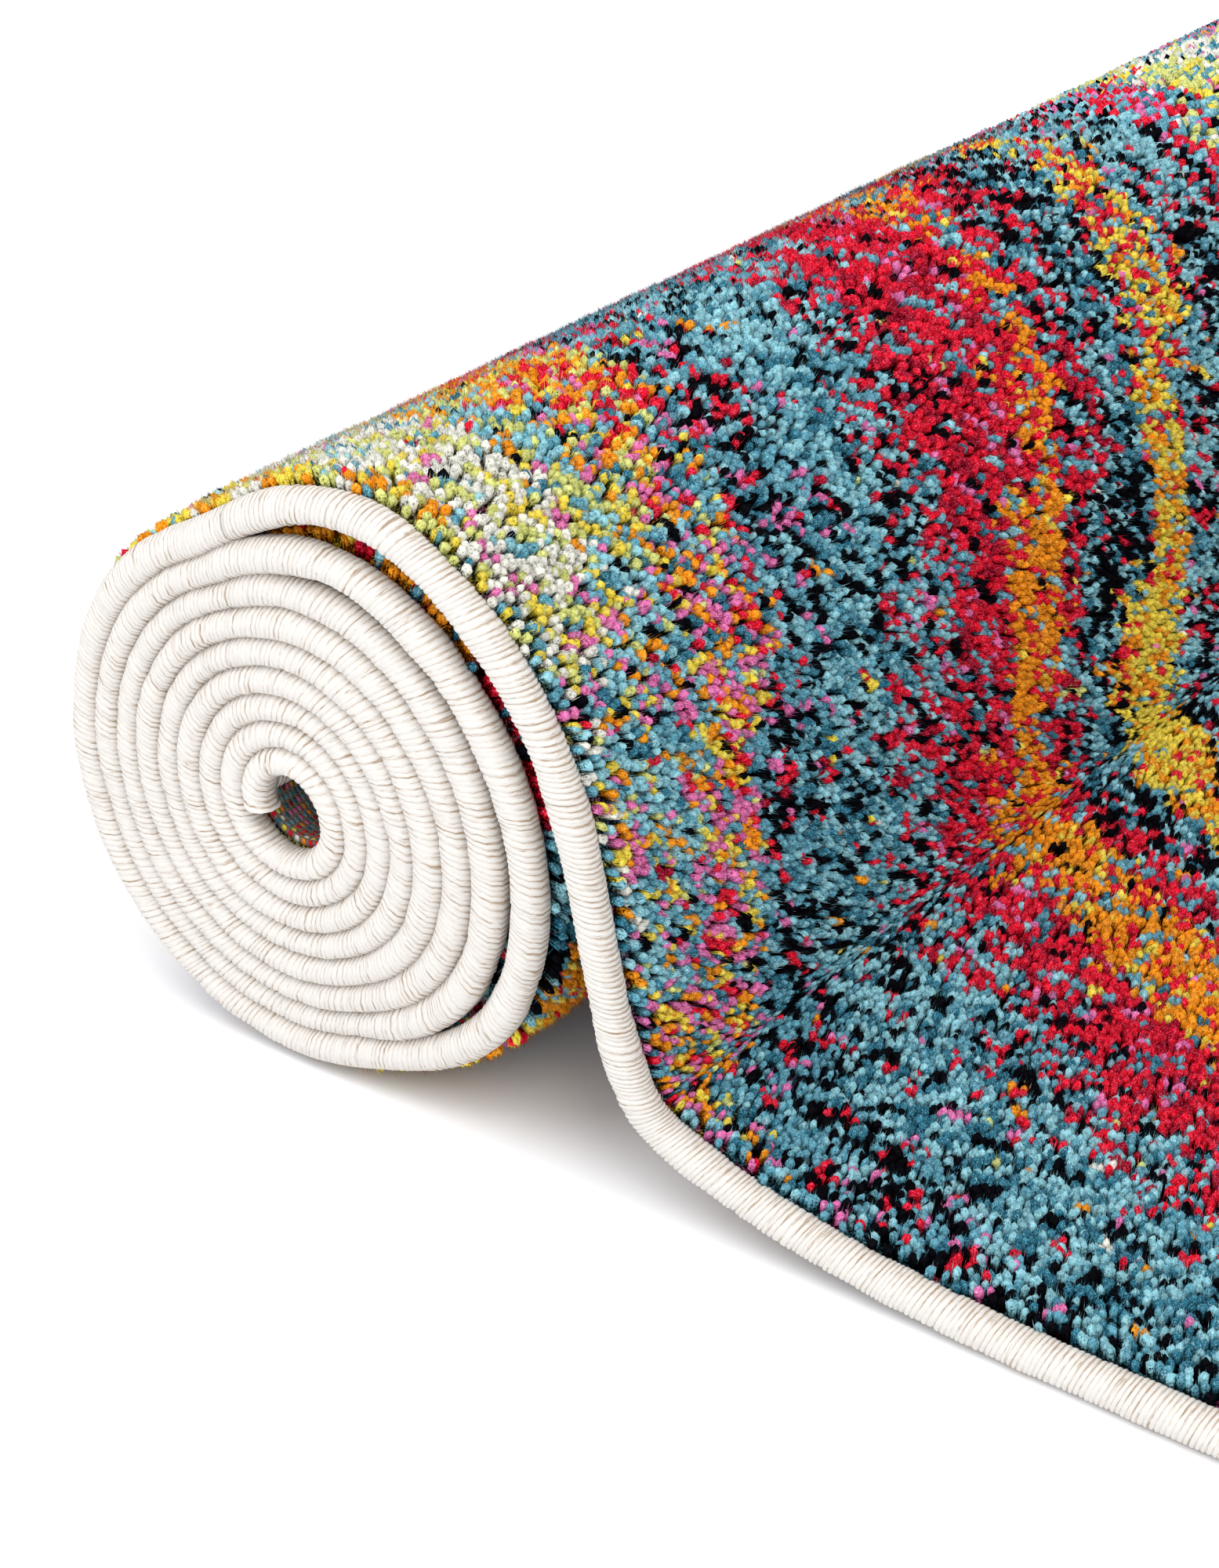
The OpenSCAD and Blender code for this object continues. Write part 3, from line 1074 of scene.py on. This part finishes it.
    def ground_patch(self, s0: float, s1: float, y0: float, y1: float, share: float) -> Patch:
        """The dense lower part of the pile.

        Args:
            s0: Where it starts along the rug.
            s1: Where it ends along the rug.
            y0: Its front edge.
            y1: Its back edge.
            share: Its share of the pile's height, where the next turn doesn't press on it.

        Returns:
            A closed slab.
        """
        rows = max(2, math.ceil((s1 - s0) / self.ground_row) + 1)
        s = np.linspace(s0, s1, rows)
        columns = max(2, math.ceil((y1 - y0) / self.ground_column) + 1)
        y = np.linspace(y0, y1, columns)
        room = self.path.room_at(s)
        top = np.minimum(self.pile_h, room - self.backing_t)
        top = np.where(room < self.backing_t + self.pile_h, top, top * share)
        across = np.concatenate([y, y[::-1]])
        level = np.concatenate([np.ones(columns), np.zeros(columns)])
        h = self.backing_t + top[:, None] * level[None]
        flat_s, flat_y = np.repeat(s[:, None], 2 * columns, 1), np.repeat(across[None], rows, 0)
        points = self._placed(flat_s, flat_y, h)
        count = rows * 2 * columns
        u = np.repeat(np.linspace(0.1, 0.9, rows)[:, None], 2 * columns, 1)
        v = np.repeat(np.linspace(0.02, 0.98, 2 * columns)[None], rows, 0)
        return Patch(
            points=points.reshape(-1, 3),
            faces=triangles(slab_faces(rows, columns)),
            yarn=YARN_COLOURS[self.design.yarn_at(flat_s, flat_y).ravel()],
            shade=np.full(count, self.ground_shade),
            tuft=np.tile([1.0, 0.0, 0.0], (count, 1)),
            map=np.stack([(GROUND_COLUMN + u) / (GROUND_COLUMN + 1), v], -1).reshape(-1, 2),
        )

    def stray_patch(self, s0: float, s1: float, gap: float, seed: int) -> Patch:
        """Single coloured fibres that stray from the pile over both edge bindings.

        Args:
            s0: Where they start along the rug.
            s1: Where they end along the rug.
            gap: The distance between them.
            seed: Start of their random numbers.

        Returns:
            The fibres, as thin closed spikes.
        """
        rng = np.random.default_rng(seed)
        half = max(2, round((s1 - s0) / gap))
        count = 2 * half
        s = rng.uniform(s0, s1, count)
        out = np.where(np.arange(count) < half, -1.0, 1.0)
        root_y = np.where(out < 0, self.front_y, self.back_y)
        level = np.minimum(self.path.room_at(s), self.binding_top)
        reach = rng.uniform(2.2, 5.2, count) * MM
        slip = rng.normal(0, 1.2, count) * MM
        yarn = self.design.yarn_at(s, root_y)
        corners = []
        for corner in range(3):
            turn = 2 * math.pi * corner / 3
            along, up = self.stray_r * math.cos(turn), self.stray_r * math.sin(turn)
            corners.append(self.path.place(s + along, root_y - out * 0.8 * MM, 0.92 * level + up))
        over = (reach - 4.7 * MM) / self.binding_r
        tip_h = level * (0.5 + 0.5 * np.sqrt(1 - over**2)) + self.stray_lift
        corners.append(self.path.place(s + slip, root_y + out * reach, tip_h))
        spike = np.array([(0, 1, 3), (1, 2, 3), (2, 0, 3), (0, 2, 1)])
        faces = spike[None] + 4 * np.arange(count)[:, None, None]
        u = (yarn[:, None] + np.array([[0.2, 0.5, 0.8, 0.5]])) / (GROUND_COLUMN + 1)
        v = np.broadcast_to([[0.3, 0.3, 0.3, 0.8]], (count, 4))
        return Patch(
            points=np.stack(corners, 1).reshape(-1, 3),
            faces=faces.reshape(-1, 3),
            yarn=np.repeat(YARN_COLOURS[yarn], 4, 0),
            # A painted highlight at each stray fibre's tip.
            shade=np.tile([0.6, 0.6, 0.6, 0.9], count),
            tuft=np.tile([1.0, 0.0, 0.0], (4 * count, 1)),
            map=np.stack([u, v], -1).reshape(-1, 2),
        )

    def wound_part(self, name: str, s0: float, s1: float, seed: int) -> bpy.types.Object:
        """The pressed pile between the turns, with tufts only at the ends, where the turns gape.

        Args:
            name: The piece's name.
            s0: Where it starts along the rug.
            s1: Where it ends along the rug.
            seed: Start of its random numbers.

        Returns:
            The piece.
        """
        rims = ((self.front_y, self.front_y + self.rim), (self.back_y - self.rim, self.back_y))
        parts = [
            self.ground_patch(s0, s1, *rims[0], self.rim_share),
            self.ground_patch(s0, s1, rims[0][1], rims[1][0], self.pressed_share),
            self.ground_patch(s0, s1, *rims[1], self.rim_share),
            self.stray_patch(s0, s1, self.stray_gap_wound, seed + 9),
        ]
        for k, (y0, y1) in enumerate(rims):
            s, y = self.tufts(s0, s1, y0, y1, FINE.gap, seed + k)
            gaping = self.path.room_at(s) > self.loose_room
            parts.append(self.tuft_patch(s[gaping], y[gaping], FINE, seed + 5 + k))
        return self._piece(name, parts)

    def stretch(self, name: str, s0: float, s1: float, zones: tuple, seed: int) -> bpy.types.Object:
        """One piece of pile between two lengths.

        Args:
            name: The piece's name.
            s0: Where it starts along the rug.
            s1: Where it ends along the rug.
            zones: Its (y from, y to, tuft shape or None), side by side.
            seed: Start of its random numbers.

        Returns:
            The piece.
        """
        parts = [self.ground_patch(s0, s1, zones[0][0], zones[-1][1], self.ground_share)]
        if zones[0][0] == self.front_y and zones[-1][1] == self.back_y:
            parts.append(self.stray_patch(s0, s1, self.stray_gap, seed + 99))
        for k, (y0, y1, shape) in enumerate(zones):
            if shape:
                s, y = self.tufts(s0, s1, y0, y1, shape.gap, seed + 10 * k)
                parts.append(self.tuft_patch(s, y, shape, seed + 10 * k + 5))
        return self._piece(name, parts)

    def _piece(self, name: str, parts: list[Patch]) -> bpy.types.Object:
        """Makes one piece of several patches.

        Args:
            name: The piece's name.
            parts: Its patches.

        Returns:
            The piece, with all that its finish reads.
        """
        whole = Patch.joined(parts)
        made = make_piece(name, whole.points, whole.faces, self.material)
        # The yarn's alpha sets how strongly the finish's painted highlights show: weak on the darkest yarns.
        coloured = np.clip(whole.yarn.max(1, keepdims=True) / 0.12, 0, 1)
        set_attribute(made, "yarn", "FLOAT_COLOR", np.concatenate([whole.yarn, coloured], 1))
        set_attribute(made, "shade", "FLOAT", whole.shade)
        set_attribute(made, "tuft", "FLOAT_VECTOR", whole.tuft)
        set_map(made, BAKE_MAP, whole.map)
        LOG.info("%s: %d triangles", name, len(whole.faces))
        return made


# Edges and backing


@dataclass(frozen=True)
class WrapDetail:
    """How finely serging is made: stations to one wrap and points round the tube."""

    steps: int
    sides: int


@dataclass
class EdgeLine:
    """The line that serging follows, with a row for each station.

    middle is the tube's middle, across and up are unit vectors across the edge and towards the pile,
    thick is the tube's thickness, and length is how far along the edge the station is.
    """

    middle: np.ndarray
    across: np.ndarray
    up: np.ndarray
    thick: np.ndarray
    length: np.ndarray


@dataclass
class Serging:
    """Yarn wound tightly over an edge of the rug, as a tube with one low ridge for each wrap."""

    path: RollPath
    material: bpy.types.Material
    width: float = 9.5 * MM
    thickness: float = 9.5 * MM
    wrap_pitch: float = 1.35 * MM
    ridge: float = 0.32 * MM
    uneven: float = 0.09 * MM
    swell: float = 0.5 * MM
    squareness: float = 2.2
    most_out: float = 0.1 * MM
    slant: float = 1.5 * MM
    # How much painted shade darkens the tube's sides that face the neighbouring turns.
    shaded_side: float = 0.48
    squeeze: float = 1.7 * MM
    edge_gap: float = 0.3 * MM
    wander: float = 0.9 * MM
    strand: float = 0.22 * MM

    def _wraps(self, length: np.ndarray, steps: int, seed: int) -> tuple[np.ndarray, np.ndarray]:
        """How the wraps rise and sink along an edge.

        Args:
            length: Length along the edge at each station.
            steps: Stations to one wrap.
            seed: Start of the random numbers.

        Returns:
            How near each station is to a crest, from nought to one, and how far out its surface lies.
        """
        rng = np.random.default_rng(seed)
        wraps = length / self.wrap_pitch + 1.4 * cloud(length / (5 * MM), length * 0 + 7, seed)
        crest = np.abs(np.sin(math.pi * wraps)) ** 0.7
        each = rng.normal(0, self.uneven, len(length) // steps + 4)
        uneven = np.interp(wraps - wraps[0], np.arange(len(each)), each)
        swell = (cloud(length / 0.009, length * 0 + seed, seed) - 0.5) * self.swell
        return crest, -self.ridge * (1 - crest) + uneven + swell

    def _surface(self, line: EdgeLine, out: np.ndarray, angles: np.ndarray) -> np.ndarray:
        """The tube's surface.

        Args:
            line: The line that it follows.
            out: How far out it lies at each station.
            angles: The angles of the points round it.

        Returns:
            A row of points for each station.
        """
        c, s, out = np.cos(angles)[None], np.sin(angles)[None], out[:, None]
        squarer = (np.abs(c) ** self.squareness + np.abs(s) ** self.squareness) ** (-1 / self.squareness)
        half_w, half_t = self.width / 2 - self.ridge, line.thick[:, None] / 2 - 0.5 * self.ridge
        a = (half_w + out) * c * squarer
        b = (half_t + np.minimum(out, self.most_out)) * s * squarer
        way = np.gradient(line.middle, axis=0)
        way /= np.linalg.norm(way, axis=1, keepdims=True)
        points = line.middle[:, None] + line.across[:, None] * a[..., None] + line.up[:, None] * b[..., None]
        return points + way[:, None] * (self.slant * s)[..., None]

    def _piece(self, name: str, line: EdgeLine, detail: WrapDetail, seed: int) -> bpy.types.Object:
        """A closed tube of serging.

        Args:
            name: The piece's name.
            line: The line that it follows.
            detail: How finely it is made.
            seed: Start of its random numbers.

        Returns:
            The piece.
        """
        stations, sides = len(line.middle), detail.sides
        angles = 2 * math.pi * np.arange(sides) / sides
        crest, out = self._wraps(line.length, detail.steps, seed)
        points = self._surface(line, out, angles).reshape(-1, 3)
        points = np.concatenate([points, line.middle[[0, -1]]])
        last, count = (stations - 1) * sides, stations * sides
        caps = [(count, j, (j + 1) % sides) for j in range(sides)]
        caps += [(count + 1, last + (j + 1) % sides, last + j) for j in range(sides)]
        faces = np.concatenate([triangles(grid_faces(stations, sides)), np.array(caps)])
        made = make_piece(name, points, faces, self.material)
        # Painted shade: darker towards the grooves between wraps and on the tube's sides that face the next
        # turn.
        wrap = crest[:, None] - self.shaded_side * np.sin(angles)[None] ** 2
        strand = np.stack([
            np.repeat((line.length / self.strand)[:, None], sides, 1),
            np.repeat((np.cos(angles) * 2.2)[None], stations, 0),
            np.repeat((np.sin(angles) * 2.2)[None], stations, 0)], -1)
        strand = np.concatenate([strand.reshape(-1, 3), np.zeros((2, 3))])
        set_attribute(made, "wrap", "FLOAT", np.append(wrap.ravel(), [0.5, 0.5]))
        set_attribute(made, "strand", "FLOAT_VECTOR", strand)
        whole = max(line.length[-1] - line.length[0], 1e-6)
        u = np.repeat(np.arange(sides)[None] / sides, stations, 0)
        v = np.repeat(((line.length - line.length[0]) / whole)[:, None], sides, 1)
        at = np.stack([0.02 + 0.96 * u, 0.02 + 0.96 * v], -1).reshape(-1, 2)
        set_map(made, BAKE_MAP, np.concatenate([at, [[0.5, 0.01], [0.5, 0.99]]]))
        LOG.info("%s: %d triangles", name, len(faces))
        return made

    def along_edge(self, name: str, s0: float, s1: float, edge_y: float, detail: WrapDetail,
                   seed: int) -> bpy.types.Object:
        """The serging on the front or back edge between two lengths of the rug.

        Args:
            name: The piece's name.
            s0: Where it starts along the rug.
            s1: Where it ends along the rug.
            edge_y: Where the rug's edge is.
            detail: How finely it is made.
            seed: Start of its random numbers.

        Returns:
            The piece.
        """
        s = np.linspace(s0, s1, round((s1 - s0) / self.wrap_pitch) * detail.steps + 1)
        inwards = -math.copysign(1.0, edge_y)
        thick = np.minimum(self.thickness, self.path.room_at(s) + self.squeeze)
        wander = (cloud(s / 0.06, s * 0 + 3, seed) - 0.5) * self.wander
        y = edge_y + inwards * (self.width / 2 + self.edge_gap) + wander
        middle = self.path.place(s, y, thick / 2)
        up = self.path.place(s, y, thick / 2 + 1.0) - middle
        across = np.zeros_like(up)
        across[:, 1] = 1.0
        return self._piece(name, EdgeLine(middle, across, up, thick, s), detail, seed)

    def along_end(self, name: str, s: float, y0: float, y1: float, detail: WrapDetail,
                  seed: int) -> bpy.types.Object:
        """The serging across the rug's inner or free end.

        Args:
            name: The piece's name.
            s: The length along the rug at its middle.
            y0: Where it starts across the rug.
            y1: Where it ends across the rug.
            detail: How finely it is made.
            seed: Start of its random numbers.

        Returns:
            The piece.
        """
        y = np.linspace(y0, y1, round((y1 - y0) / self.wrap_pitch) * detail.steps + 1)
        at = np.full(len(y), s)
        thick = np.minimum(self.thickness, self.path.room_at(at))
        middle = self.path.place(at, y, thick / 2)
        up = self.path.place(at, y, thick / 2 + 1.0) - middle
        across = np.stack([up[:, 2], up[:, 1], -up[:, 0]], 1)
        return self._piece(name, EdgeLine(middle, across, up, thick, y), detail, seed)


@dataclass
class Backing:
    """The woven backing, a closed thin sheet whose back shows its knots."""

    path: RollPath
    finish: WovenBackFinish
    thickness: float = 2.0 * MM
    relief: float = 0.35 * MM
    fine_step: float = 0.6 * MM

    def __post_init__(self) -> None:
        """Makes the finish's material once for all pieces."""
        self.material = self.finish.material()

    def piece(self, name: str, s: np.ndarray, y: np.ndarray) -> bpy.types.Object:
        """One stretch of backing, whose knots stand out where it is made finely enough.

        Args:
            name: The piece's name.
            s: The lengths along the rug of its rows of vertices.
            y: The places across it of the vertices in a row.

        Returns:
            The piece.
        """
        rows, columns = len(s), len(y)
        fine = (np.gradient(s)[:, None] < self.fine_step) & (np.gradient(y)[None] < self.fine_step)
        along, over = s[:, None] / self.finish.knot_along, y[None] / self.finish.knot_across
        hump = np.abs(np.sin(math.pi * along) * np.sin(math.pi * over))
        low = np.where(fine, self.relief * (1 - hump**0.6), 0.0)
        h = np.concatenate([np.full((rows, columns), self.thickness), low[:, ::-1]], 1)
        flat_s = np.repeat(s[:, None], 2 * columns, 1)
        flat_y = np.repeat(np.concatenate([y, y[::-1]])[None], rows, 0)
        faces = slab_faces(rows, columns)
        made = make_piece(name, self.path.place(flat_s, flat_y, h).reshape(-1, 3), faces, self.material)
        set_map(made, "Cloth", np.stack([flat_s, flat_y], -1).reshape(-1, 2))
        LOG.info("%s: %d faces", name, len(faces))
        return made


# The rug, piece by piece


WOUND_FRONT = WrapDetail(steps=4, sides=10)
WOUND_BACK = WrapDetail(steps=3, sides=8)
FREE_FRONT = WrapDetail(steps=6, sides=16)
FREE_BACK = WrapDetail(steps=4, sides=10)
INNER_END = WrapDetail(steps=3, sides=8)
FREE_END = WrapDetail(steps=3, sides=10)


@dataclass
class AreaRug:
    """The whole rug, in pieces, of which those of the roll and the free end ride on the frame's bodies."""

    path: RollPath
    binding_w: float = 9.5 * MM
    fine_w: float = 0.33
    fine_parts: int = 6
    under_w: float = 0.08
    back_w: float = 0.05
    plain_to: float = 0.70
    core_l: float = 0.12
    core_step: float = 0.5 * MM
    core_knots_w: float = 0.06
    core_knot_step: float = 0.4 * MM
    backing_step: float = 4.0 * MM
    crease: float = 18.0 * MM
    loose_a: float = 380.0
    rear_a: float = 250.0
    crown_a: float = 140.0
    top_a: float = 100.0

    def __post_init__(self) -> None:
        """Reads the rug's place and edges from the frame."""
        low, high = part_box("roll_front_binding"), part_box("roll_back_binding")
        self.edges = {"front": low[0].y, "back": high[1].y}
        field_low, field_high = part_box("roll_pile")
        self.front, self.back = field_low.y, field_high.y
        self.design = Design(self.path, self.edges["front"])
        self.pile = Pile(self.path, self.design, self.front, self.back, PileFinish().material())
        self.serging = Serging(self.path, SergeFinish().material())
        self.backing = Backing(self.path, WovenBackFinish())
        self.foot_s = self.path.s_at_x(self.path.hinge_x(1) - 0.5 * self.path.strip_l)

    def build(self) -> None:
        """Builds every piece; those of the roll and of the free end are tied to the frame's bodies."""
        self._roll()
        for number in range(1, self.path.strips + 2):
            self._strip(number)

    def _wound_pile(self) -> list[bpy.types.Object]:
        """The pile from the inner end to the foot.

        Returns:
            Its pieces, of which the first is the part between the turns.
        """
        front, back, pile = self.front, self.back, self.pile
        angles = (self.loose_a, self.rear_a, self.crown_a, self.path.leaves_at)
        s_loose, s_rear, s_crown, s_drape = (self.path.s_at_angle(a) for a in angles)
        far = ((0.0, back - self.back_w, PLAIN), (back - self.back_w, back, MEDIUM))
        seen = front + self.under_w
        under = ((front, seen, FINE), (seen, back - self.back_w, None), (back - self.back_w, back, MEDIUM))
        pieces = [
            pile.wound_part("pile_wound", self.binding_w, s_loose, 1),
            pile.stretch("pile_under", s_loose, s_rear, under, 2),
            pile.stretch("pile_rear_1", s_rear, s_crown, ((front, 0.5 * front, MEDIUM),), 3),
            pile.stretch("pile_rear_2", s_rear, s_crown, ((0.5 * front, 0.0, MEDIUM),), 6),
            pile.stretch("pile_rear_3", s_rear, s_crown, far, 4),
        ]
        cuts = np.linspace(front, front + self.fine_w, self.fine_parts + 1)
        middle = 0.5 * cuts[-1]
        zones = [((y0, y1, FINE),) for y0, y1 in zip(cuts, cuts[1:])]
        zones += [((cuts[-1], middle, MEDIUM),), ((middle, 0.0, MEDIUM),), far]
        for k, zone in enumerate(zones):
            pieces.append(pile.stretch(f"pile_crown_{k + 1}", s_crown, s_drape, zone, 100 + k))
            pieces.append(pile.stretch(f"pile_drape_{k + 1}", s_drape, self.foot_s, zone, 200 + k))
        return pieces

    def _wound_backing(self) -> tuple[bpy.types.Object, bpy.types.Object]:
        """The backing from the inner end to the foot.

        Returns:
            The part seen in the core, with its knots, and the rest.
        """
        start, seen = self.binding_w, self.front + self.core_knots_w
        s = np.linspace(start, self.core_l, round((self.core_l - start) / self.core_step) + 1)
        y = np.append(np.arange(self.front, seen, self.core_knot_step), np.linspace(seen, self.back, 30))
        core = self.backing.piece("backing_core", s, y)
        s = np.linspace(self.core_l, self.foot_s, round((self.foot_s - self.core_l) / self.backing_step) + 1)
        return core, self.backing.piece("backing_wound", s, np.linspace(self.front, self.back, 60))

    def _roll(self) -> None:
        """The wound part, the run down to the floor and the foot, all on the roll."""
        pile = self._wound_pile()
        s_top = self.path.s_at_angle(self.top_a)
        details = {"front": (WOUND_FRONT, FREE_FRONT), "back": (WOUND_BACK, FREE_BACK)}
        edges = []
        for side, y in self.edges.items():
            wound, free = details[side]
            edges.append(self.serging.along_edge(f"binding_{side}_wound", 0.0, s_top, y, wound, 3))
            edges.append(self.serging.along_edge(f"binding_{side}_drape", s_top, self.foot_s, y, free, 4))
            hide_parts(f"roll_{side}_binding")
            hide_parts(f"drape_{side}_binding")
        at = self.binding_w / 2
        edges.append(self.serging.along_end("binding_inner_end", at, self.front, self.back, INNER_END, 5))
        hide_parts("core_end_binding", "core_end_cord")
        core, backing = self._wound_backing()
        others = [*pile, *edges, core]
        for piece in (*others, backing):
            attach(piece, "roll")
        flat = (self.back - self.front, self.foot_s - self.binding_w)
        for stretch in ("roll", "drape"):
            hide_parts(f"{stretch}_backing", f"{stretch}_front_cord", f"{stretch}_back_cord")
            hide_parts(f"{stretch}_pile")

    def _strip(self, number: int) -> None:
        """One lifting strip, which crosses its hinge, or the free end after the last of them.

        Args:
            number: The hinge's number from the roll; one past the last hinge is the free end.
        """
        path, front, back = self.path, self.front, self.back
        last = number > path.strips
        name = "end" if last else f"strip_{number}"
        hinge, half = path.hinge_x(number), 0.5 * path.strip_l
        s0 = path.s_at_x(hinge - half)
        s1 = path.length if last else path.s_at_x(hinge + half)
        inner = s1 - self.binding_w if last else s1
        zones = ((front, 0.0, MEDIUM), (0.0, self.plain_to, PLAIN), (self.plain_to, back, MEDIUM))
        pieces = [self.pile.stretch(f"pile_{name}", s0, inner, zones, 300 + number)]
        for side, detail in (("front", FREE_FRONT), ("back", FREE_BACK)):
            edge, label = self.edges[side], f"binding_{side}_{name}"
            pieces.append(self.serging.along_edge(label, s0, s1, edge, detail, 10 + number))
        if last:
            at = path.length - self.binding_w / 2
            pieces.append(self.serging.along_end("binding_free_end", at, front, back, FREE_END, 6))
        s = np.linspace(s0, inner, max(2, round((inner - s0) / self.backing_step)))
        backing = self.backing.piece(f"backing_{name}", s, np.linspace(front, back, 40))
        before = "roll" if number == 1 else f"tail_{number - 1}"
        for piece in (*pieces, backing):
            if last:
                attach(piece, before)
            else:
                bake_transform(piece)
        back - front
        inner - s0
        if last:
            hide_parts("tail_end_binding", "tail_end_cord")
            return
        cords = (f"tail_{number}_front_cord", f"tail_{number}_back_cord")
        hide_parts(f"tail_{number}_backing", *cords)
        for piece, node in zip(pieces, ("pile", "front_binding", "back_binding")):
            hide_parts(f"tail_{number}_{node}")


# Floor, light and camera


@dataclass(frozen=True)
class Lamp:
    """A large soft light that faces what the camera looks at."""

    name: str
    at: tuple
    size: float
    power: float

    def build(self, target: Vector) -> None:
        """Hangs the lamp.

        Args:
            target: What it faces.
        """
        light = bpy.data.lights.new(self.name, "AREA")
        light.size = self.size
        light.energy = self.power
        made = bpy.data.objects.new(self.name, light)
        made.location = self.at
        made.rotation_euler = (target - Vector(self.at)).to_track_quat("-Z", "Y").to_euler()
        bpy.context.scene.collection.objects.link(made)


@dataclass
class Studio:
    """The floor, the lights and the camera, which looks at a place beside the roll's front end."""

    axis_x: float
    beside: float = 0.0963
    front_y: float = -0.760
    above: float = 0.109
    azimuth: float = 36.64
    elevation: float = 28.5
    distance: float = 0.704
    lens: float = 76.0
    floor_size: float = 30.0
    floor_gap: float = 0.2 * MM
    sky_colour: tuple = (0.96, 0.98, 1.0, 1.0)
    sky_strength: float = 0.90
    lamps: tuple = (
        Lamp("key", (-1.4, -1.5, 2.2), 2.4, 34.0),
        Lamp("side", (1.6, -1.6, 2.6), 2.0, 44.0),
        Lamp("front", (0.4, -3.0, 1.0), 2.4, 22.0),
    )

    def build(self) -> None:
        """Makes the floor, the lights, the sky and the camera."""
        target = Vector((self.axis_x + self.beside, self.front_y, self.above))
        self._floor()
        self._sky()
        for lamp in self.lamps:
            lamp.build(target)
        self._camera(target)
        view = bpy.context.scene.view_settings
        view.view_transform = "Standard"
        view.exposure = 0.0

    def _floor(self) -> None:
        """A wide pale floor just under the rug."""
        size, z = self.floor_size, -self.floor_gap
        points = np.array([[-size, -size, z], [size, -size, z], [size, size, z], [-size, size, z]])
        make_piece("floor", points, np.array([[0, 1, 2, 3]]), FloorFinish().material())

    def _sky(self) -> None:
        """An even pale sky."""
        world = bpy.data.worlds.new("sky")
        world.use_nodes = True
        bpy.context.scene.world = world
        ground = world.node_tree.nodes["Background"]
        ground.inputs[0].default_value = self.sky_colour
        ground.inputs[1].default_value = self.sky_strength

    def _camera(self, target: Vector) -> None:
        """The camera, close to the roll's front end.

        Args:
            target: Where it looks.
        """
        a, e = math.radians(self.azimuth), math.radians(self.elevation)
        ahead = Vector((-math.sin(a) * math.cos(e), math.cos(a) * math.cos(e), -math.sin(e)))
        lens = bpy.data.cameras.new("camera")
        lens.sensor_width = 36.0
        lens.lens = self.lens
        lens.clip_start = 0.05
        made = bpy.data.objects.new("camera", lens)
        made.location = target - self.distance * ahead
        made.rotation_euler = ahead.to_track_quat("-Z", "Y").to_euler()
        bpy.context.scene.collection.objects.link(made)
        bpy.context.scene.camera = made


def main() -> None:
    """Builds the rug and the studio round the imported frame."""
    logging.basicConfig(level=logging.INFO, format="%(name)s: %(message)s")
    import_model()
    path = RollPath()
    LOG.info("path length %.4f m, axis at x %.4f z %.4f", path.length, path.axis_x, path.axis_z)
    AreaRug(path).build()
    Studio(path.axis_x).build()


if __name__ == "__main__":
    main()
